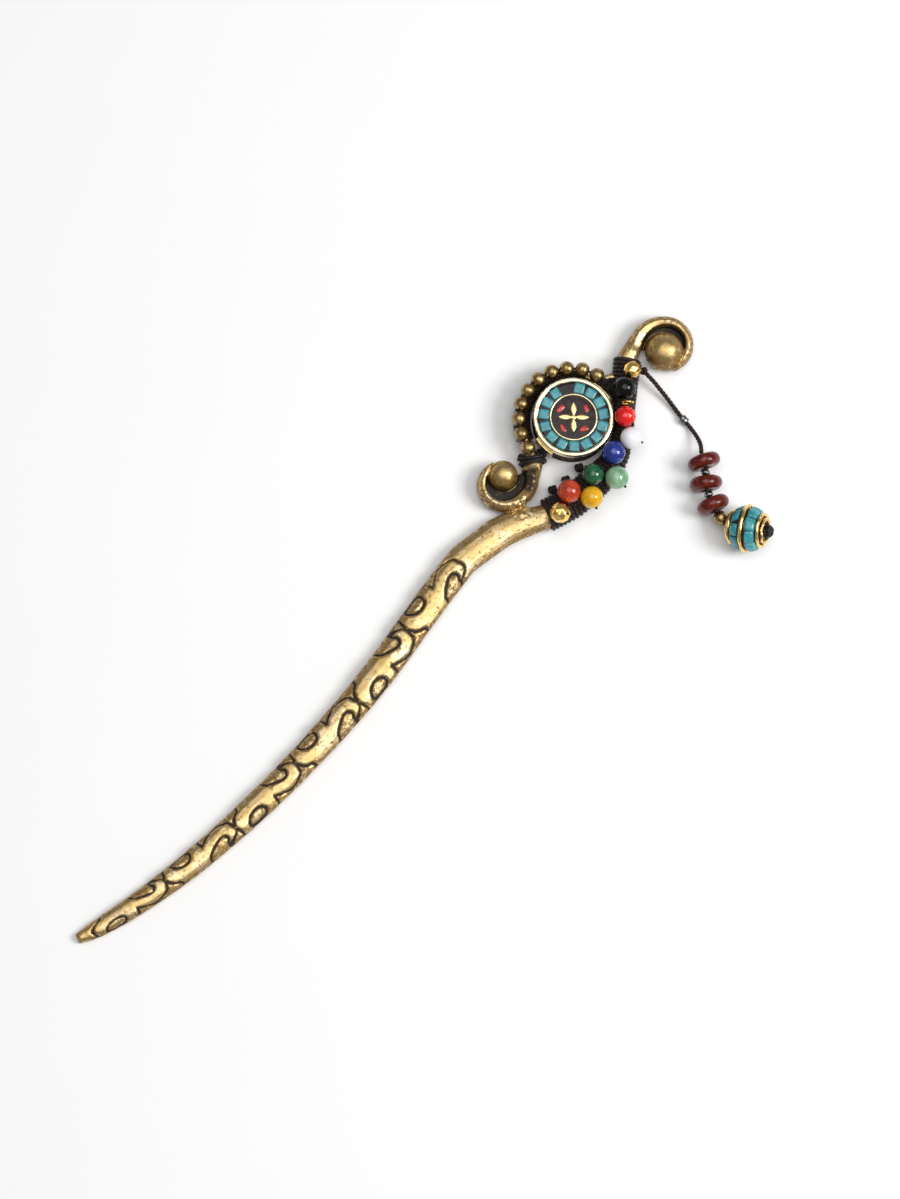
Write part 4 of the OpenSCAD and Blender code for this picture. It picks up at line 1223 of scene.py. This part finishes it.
def make_mosaic_ball(looks):
    at, turn = on_pair(BALL_ROUTE)
    ball_r = 5.1
    core_r = 4.35
    tiles_round = 9
    core = []
    for a in np.linspace(0.62, math.pi - 0.62, 40):
        core.append((core_r * math.sin(a), core_r * math.cos(a)))
    core = [(1.0, 3.4), (1.7, 3.5)] + core + [(1.7, -3.5), (1.0, -3.4), (1.0, 0)]
    points, faces = lathe(core, 96)
    points = wobble(points, 0.22, 0.9, 4.0)
    piece("mastic_ball", points @ turn.T + at, faces, looks["mastic"], "mosaic_ball_core")

    tiles = Parts()
    for side in (-1, 1):
        for i in range(tiles_round):
            mid = TAU * (i + side / 4) / tiles_round + rng.normal(0, 0.02)
            skew = rng.normal(0, 0.07) if side > 0 else rng.normal(0, 0.16)
            half_z = 0.95 + rng.normal(0, 0.04)
            centre_z = side * 1.78
            half_a = (math.pi / tiles_round) * (0.86 + rng.normal(0, 0.03))

            def place(u, v, z, mid=mid, skew=skew, centre_z=centre_z, side=side):
                level = centre_z + v
                return mosaic_point(turn, at, ball_r - 0.12 + z, mid + u + skew * v * 0.35, level)

            points, faces = pillow(place, half_a, half_z, 0.75, steps=9, soft=0.14, power=6)
            tiles.add(wobble(points, 0.06, 0.9, i + 9 * side), faces)
    tiles.piece("ball_mosaic", looks["turquoise"], "mosaic_ball_tiles")

    bands = Parts()
    seat = 4.75
    for radius, z, wire in ((seat + 0.08, 0, 0.40), (seat * 0.72, seat * 0.70, 0.36),
                            (seat * 0.72, -seat * 0.70, 0.36),
                            (seat * 0.72 - 0.95, 4.0, 0.33), (seat * 0.72 - 0.95, -4.0, 0.33)):
        a = np.linspace(0, TAU, 150, endpoint=False)
        wave = np.array([noise.noise(Vector((math.cos(x) * 2.6, math.sin(x) * 2.6, z))) for x in a])
        ripple = np.array([noise.noise(Vector((math.cos(x) * 2.2, z + 7, math.sin(x) * 2.2))) for x in a])
        line = np.stack([(radius + 0.10 * wave) * np.cos(a), (radius + 0.10 * wave) * np.sin(a),
                         z + 0.22 * ripple], axis=1)
        thick = wire * (1 + 0.28 * np.array([noise.noise(Vector((math.cos(x) * 5, math.sin(x) * 5,
                                                                 z + 3))) for x in a]))
        points, faces, _ = tube(line @ turn.T + at, thick, 12, closed=True)
        bands.add(points, faces)
    bands.piece("ball_wires", looks["wire"], "mosaic_ball_bands")


def make_dangle_beads(looks):
    for i, pair in enumerate(DISC_ROUTE):
        at, turn = on_pair(pair)
        points, faces = lathe(disc_profile(3.55, 2.9, 0.65), 72)
        points = wobble(points, 0.07, 0.4, 11.0 + i)
        piece(f"lacquered_disc_{i + 1}", points @ turn.T + at, faces, looks["wood"], f"disc_bead_{i + 1}")
    for i in range(2):
        at, turn = on_pair((DISC_ROUTE[i][1], DISC_ROUTE[i + 1][0]))
        profile = [(0.58, 0.5), (0.85, 0.46), (0.98, 0.2), (1.0, 0), (0.98, -0.2), (0.85, -0.46),
                   (0.58, -0.5),
                   (0.55, -0.3), (0.55, 0.3)]
        points, faces = lathe(catmull(profile, 3, closed=True), 28)
        piece(f"silver_spacer_{i + 1}", points @ turn.T + at, faces, looks["silver"], f"spacer_bead_{i + 1}")
    at, turn = on_pair(BRASS_ROUTE)
    points, faces = lathe(bead_profile(1.55, 0.65, lip=0.1), 44)
    piece("small_brass_bead", wobble(points, 0.05, 0.8, 3.0) @ turn.T + at, faces, looks["bead_brass"],
          "brass_bead")

    turn = aim((0.1, 1, 0))
    crimp = [(0.60, 0.75), (0.85, 0.72), (0.98, 0.4), (1.0, 0), (0.98, -0.4), (0.85, -0.72), (0.60, -0.75),
             (0.52, -0.5), (0.52, 0.5)]
    points, faces = lathe(catmull(crimp, 4, closed=True), 32)
    dent = 1 - 0.14 * np.exp(-(points[:, 2] / 0.35) ** 2)
    points[:, 0] *= dent
    piece("silver_crimp", points @ turn.T + CRIMP_AT, faces, looks["silver"], "crimp_bead")

    start = Parts()
    for tilt in ((0.9, 0.4), (2.2, 1.6)):
        start.add(*tube(knot_line(KNOT_AT, 0.78, tilt), 0.30, 7, closed=True))
    start.piece("dangle_start_knot", looks["black_cord"], "dangle_knot")

    at, turn = on_pair(BALL_ROUTE)
    out = turn @ np.array([0, 0, 1.0])
    place = at + out * (np.linalg.norm(np.subtract(*BALL_ROUTE)) / 2 + 0.85)
    end = Parts()
    for tilt in ((0.3, 0.2), (1.4, 1.1), (2.4, 2.0)):
        end.add(*tube(knot_line(place, 1.15, tilt), 0.44, 8, closed=True))
    end.piece("dangle_end_knot", looks["black_cord"], "end_knot")


# ---- Stage


def make_stage(look):
    size = 3.0
    mesh = bpy.data.meshes.new("floor")
    mesh.from_pydata([(-size, -size, 0), (size, -size, 0), (size, size, 0), (-size, size, 0)], [],
                     [(0, 1, 2, 3)])
    mesh.materials.append(look)
    floor = bpy.data.objects.new("floor", mesh)
    bpy.context.scene.collection.objects.link(floor)

    world = bpy.data.worlds.new("studio")
    world.use_nodes = True
    world.node_tree.nodes["Background"].inputs["Color"].default_value = (1, 1, 1, 1)
    world.node_tree.nodes["Background"].inputs["Strength"].default_value = 0.26
    bpy.context.scene.world = world

    for name, reach, size, power in (
            ("key", RIGHT * 0.72 + UP * 0.04 + TOWARD * 0.72, 0.45, 7.0),
            ("overhead", RIGHT * 0.05 + UP * 0.25 + TOWARD * 1.1, 0.9, 5.6)):
        data = bpy.data.lights.new(name, "AREA")
        data.shape = "SQUARE"
        data.size = size
        data.energy = power
        light = bpy.data.objects.new(name, data)
        light.location = reach
        light.rotation_mode = "QUATERNION"
        light.rotation_quaternion = (-reach).to_track_quat("-Z", "Y")
        bpy.context.scene.collection.objects.link(light)
    bpy.context.scene.view_settings.view_transform = "Standard"


# ---- Assembly

make_camera()
looks = make_looks()
cord, cord_path, cord_length = make_dangle_cord(looks["dangle_cord"])
make_casting(looks["cast_brass"])
make_bindings(looks)
make_medallion(looks)
make_stones(looks)
make_ring_beads(looks)
make_small_trim(looks)
make_mosaic_ball(looks)
make_dangle_beads(looks)
make_stage(looks["floor"])

np.array(CORD_ROUTE[0]) * MM
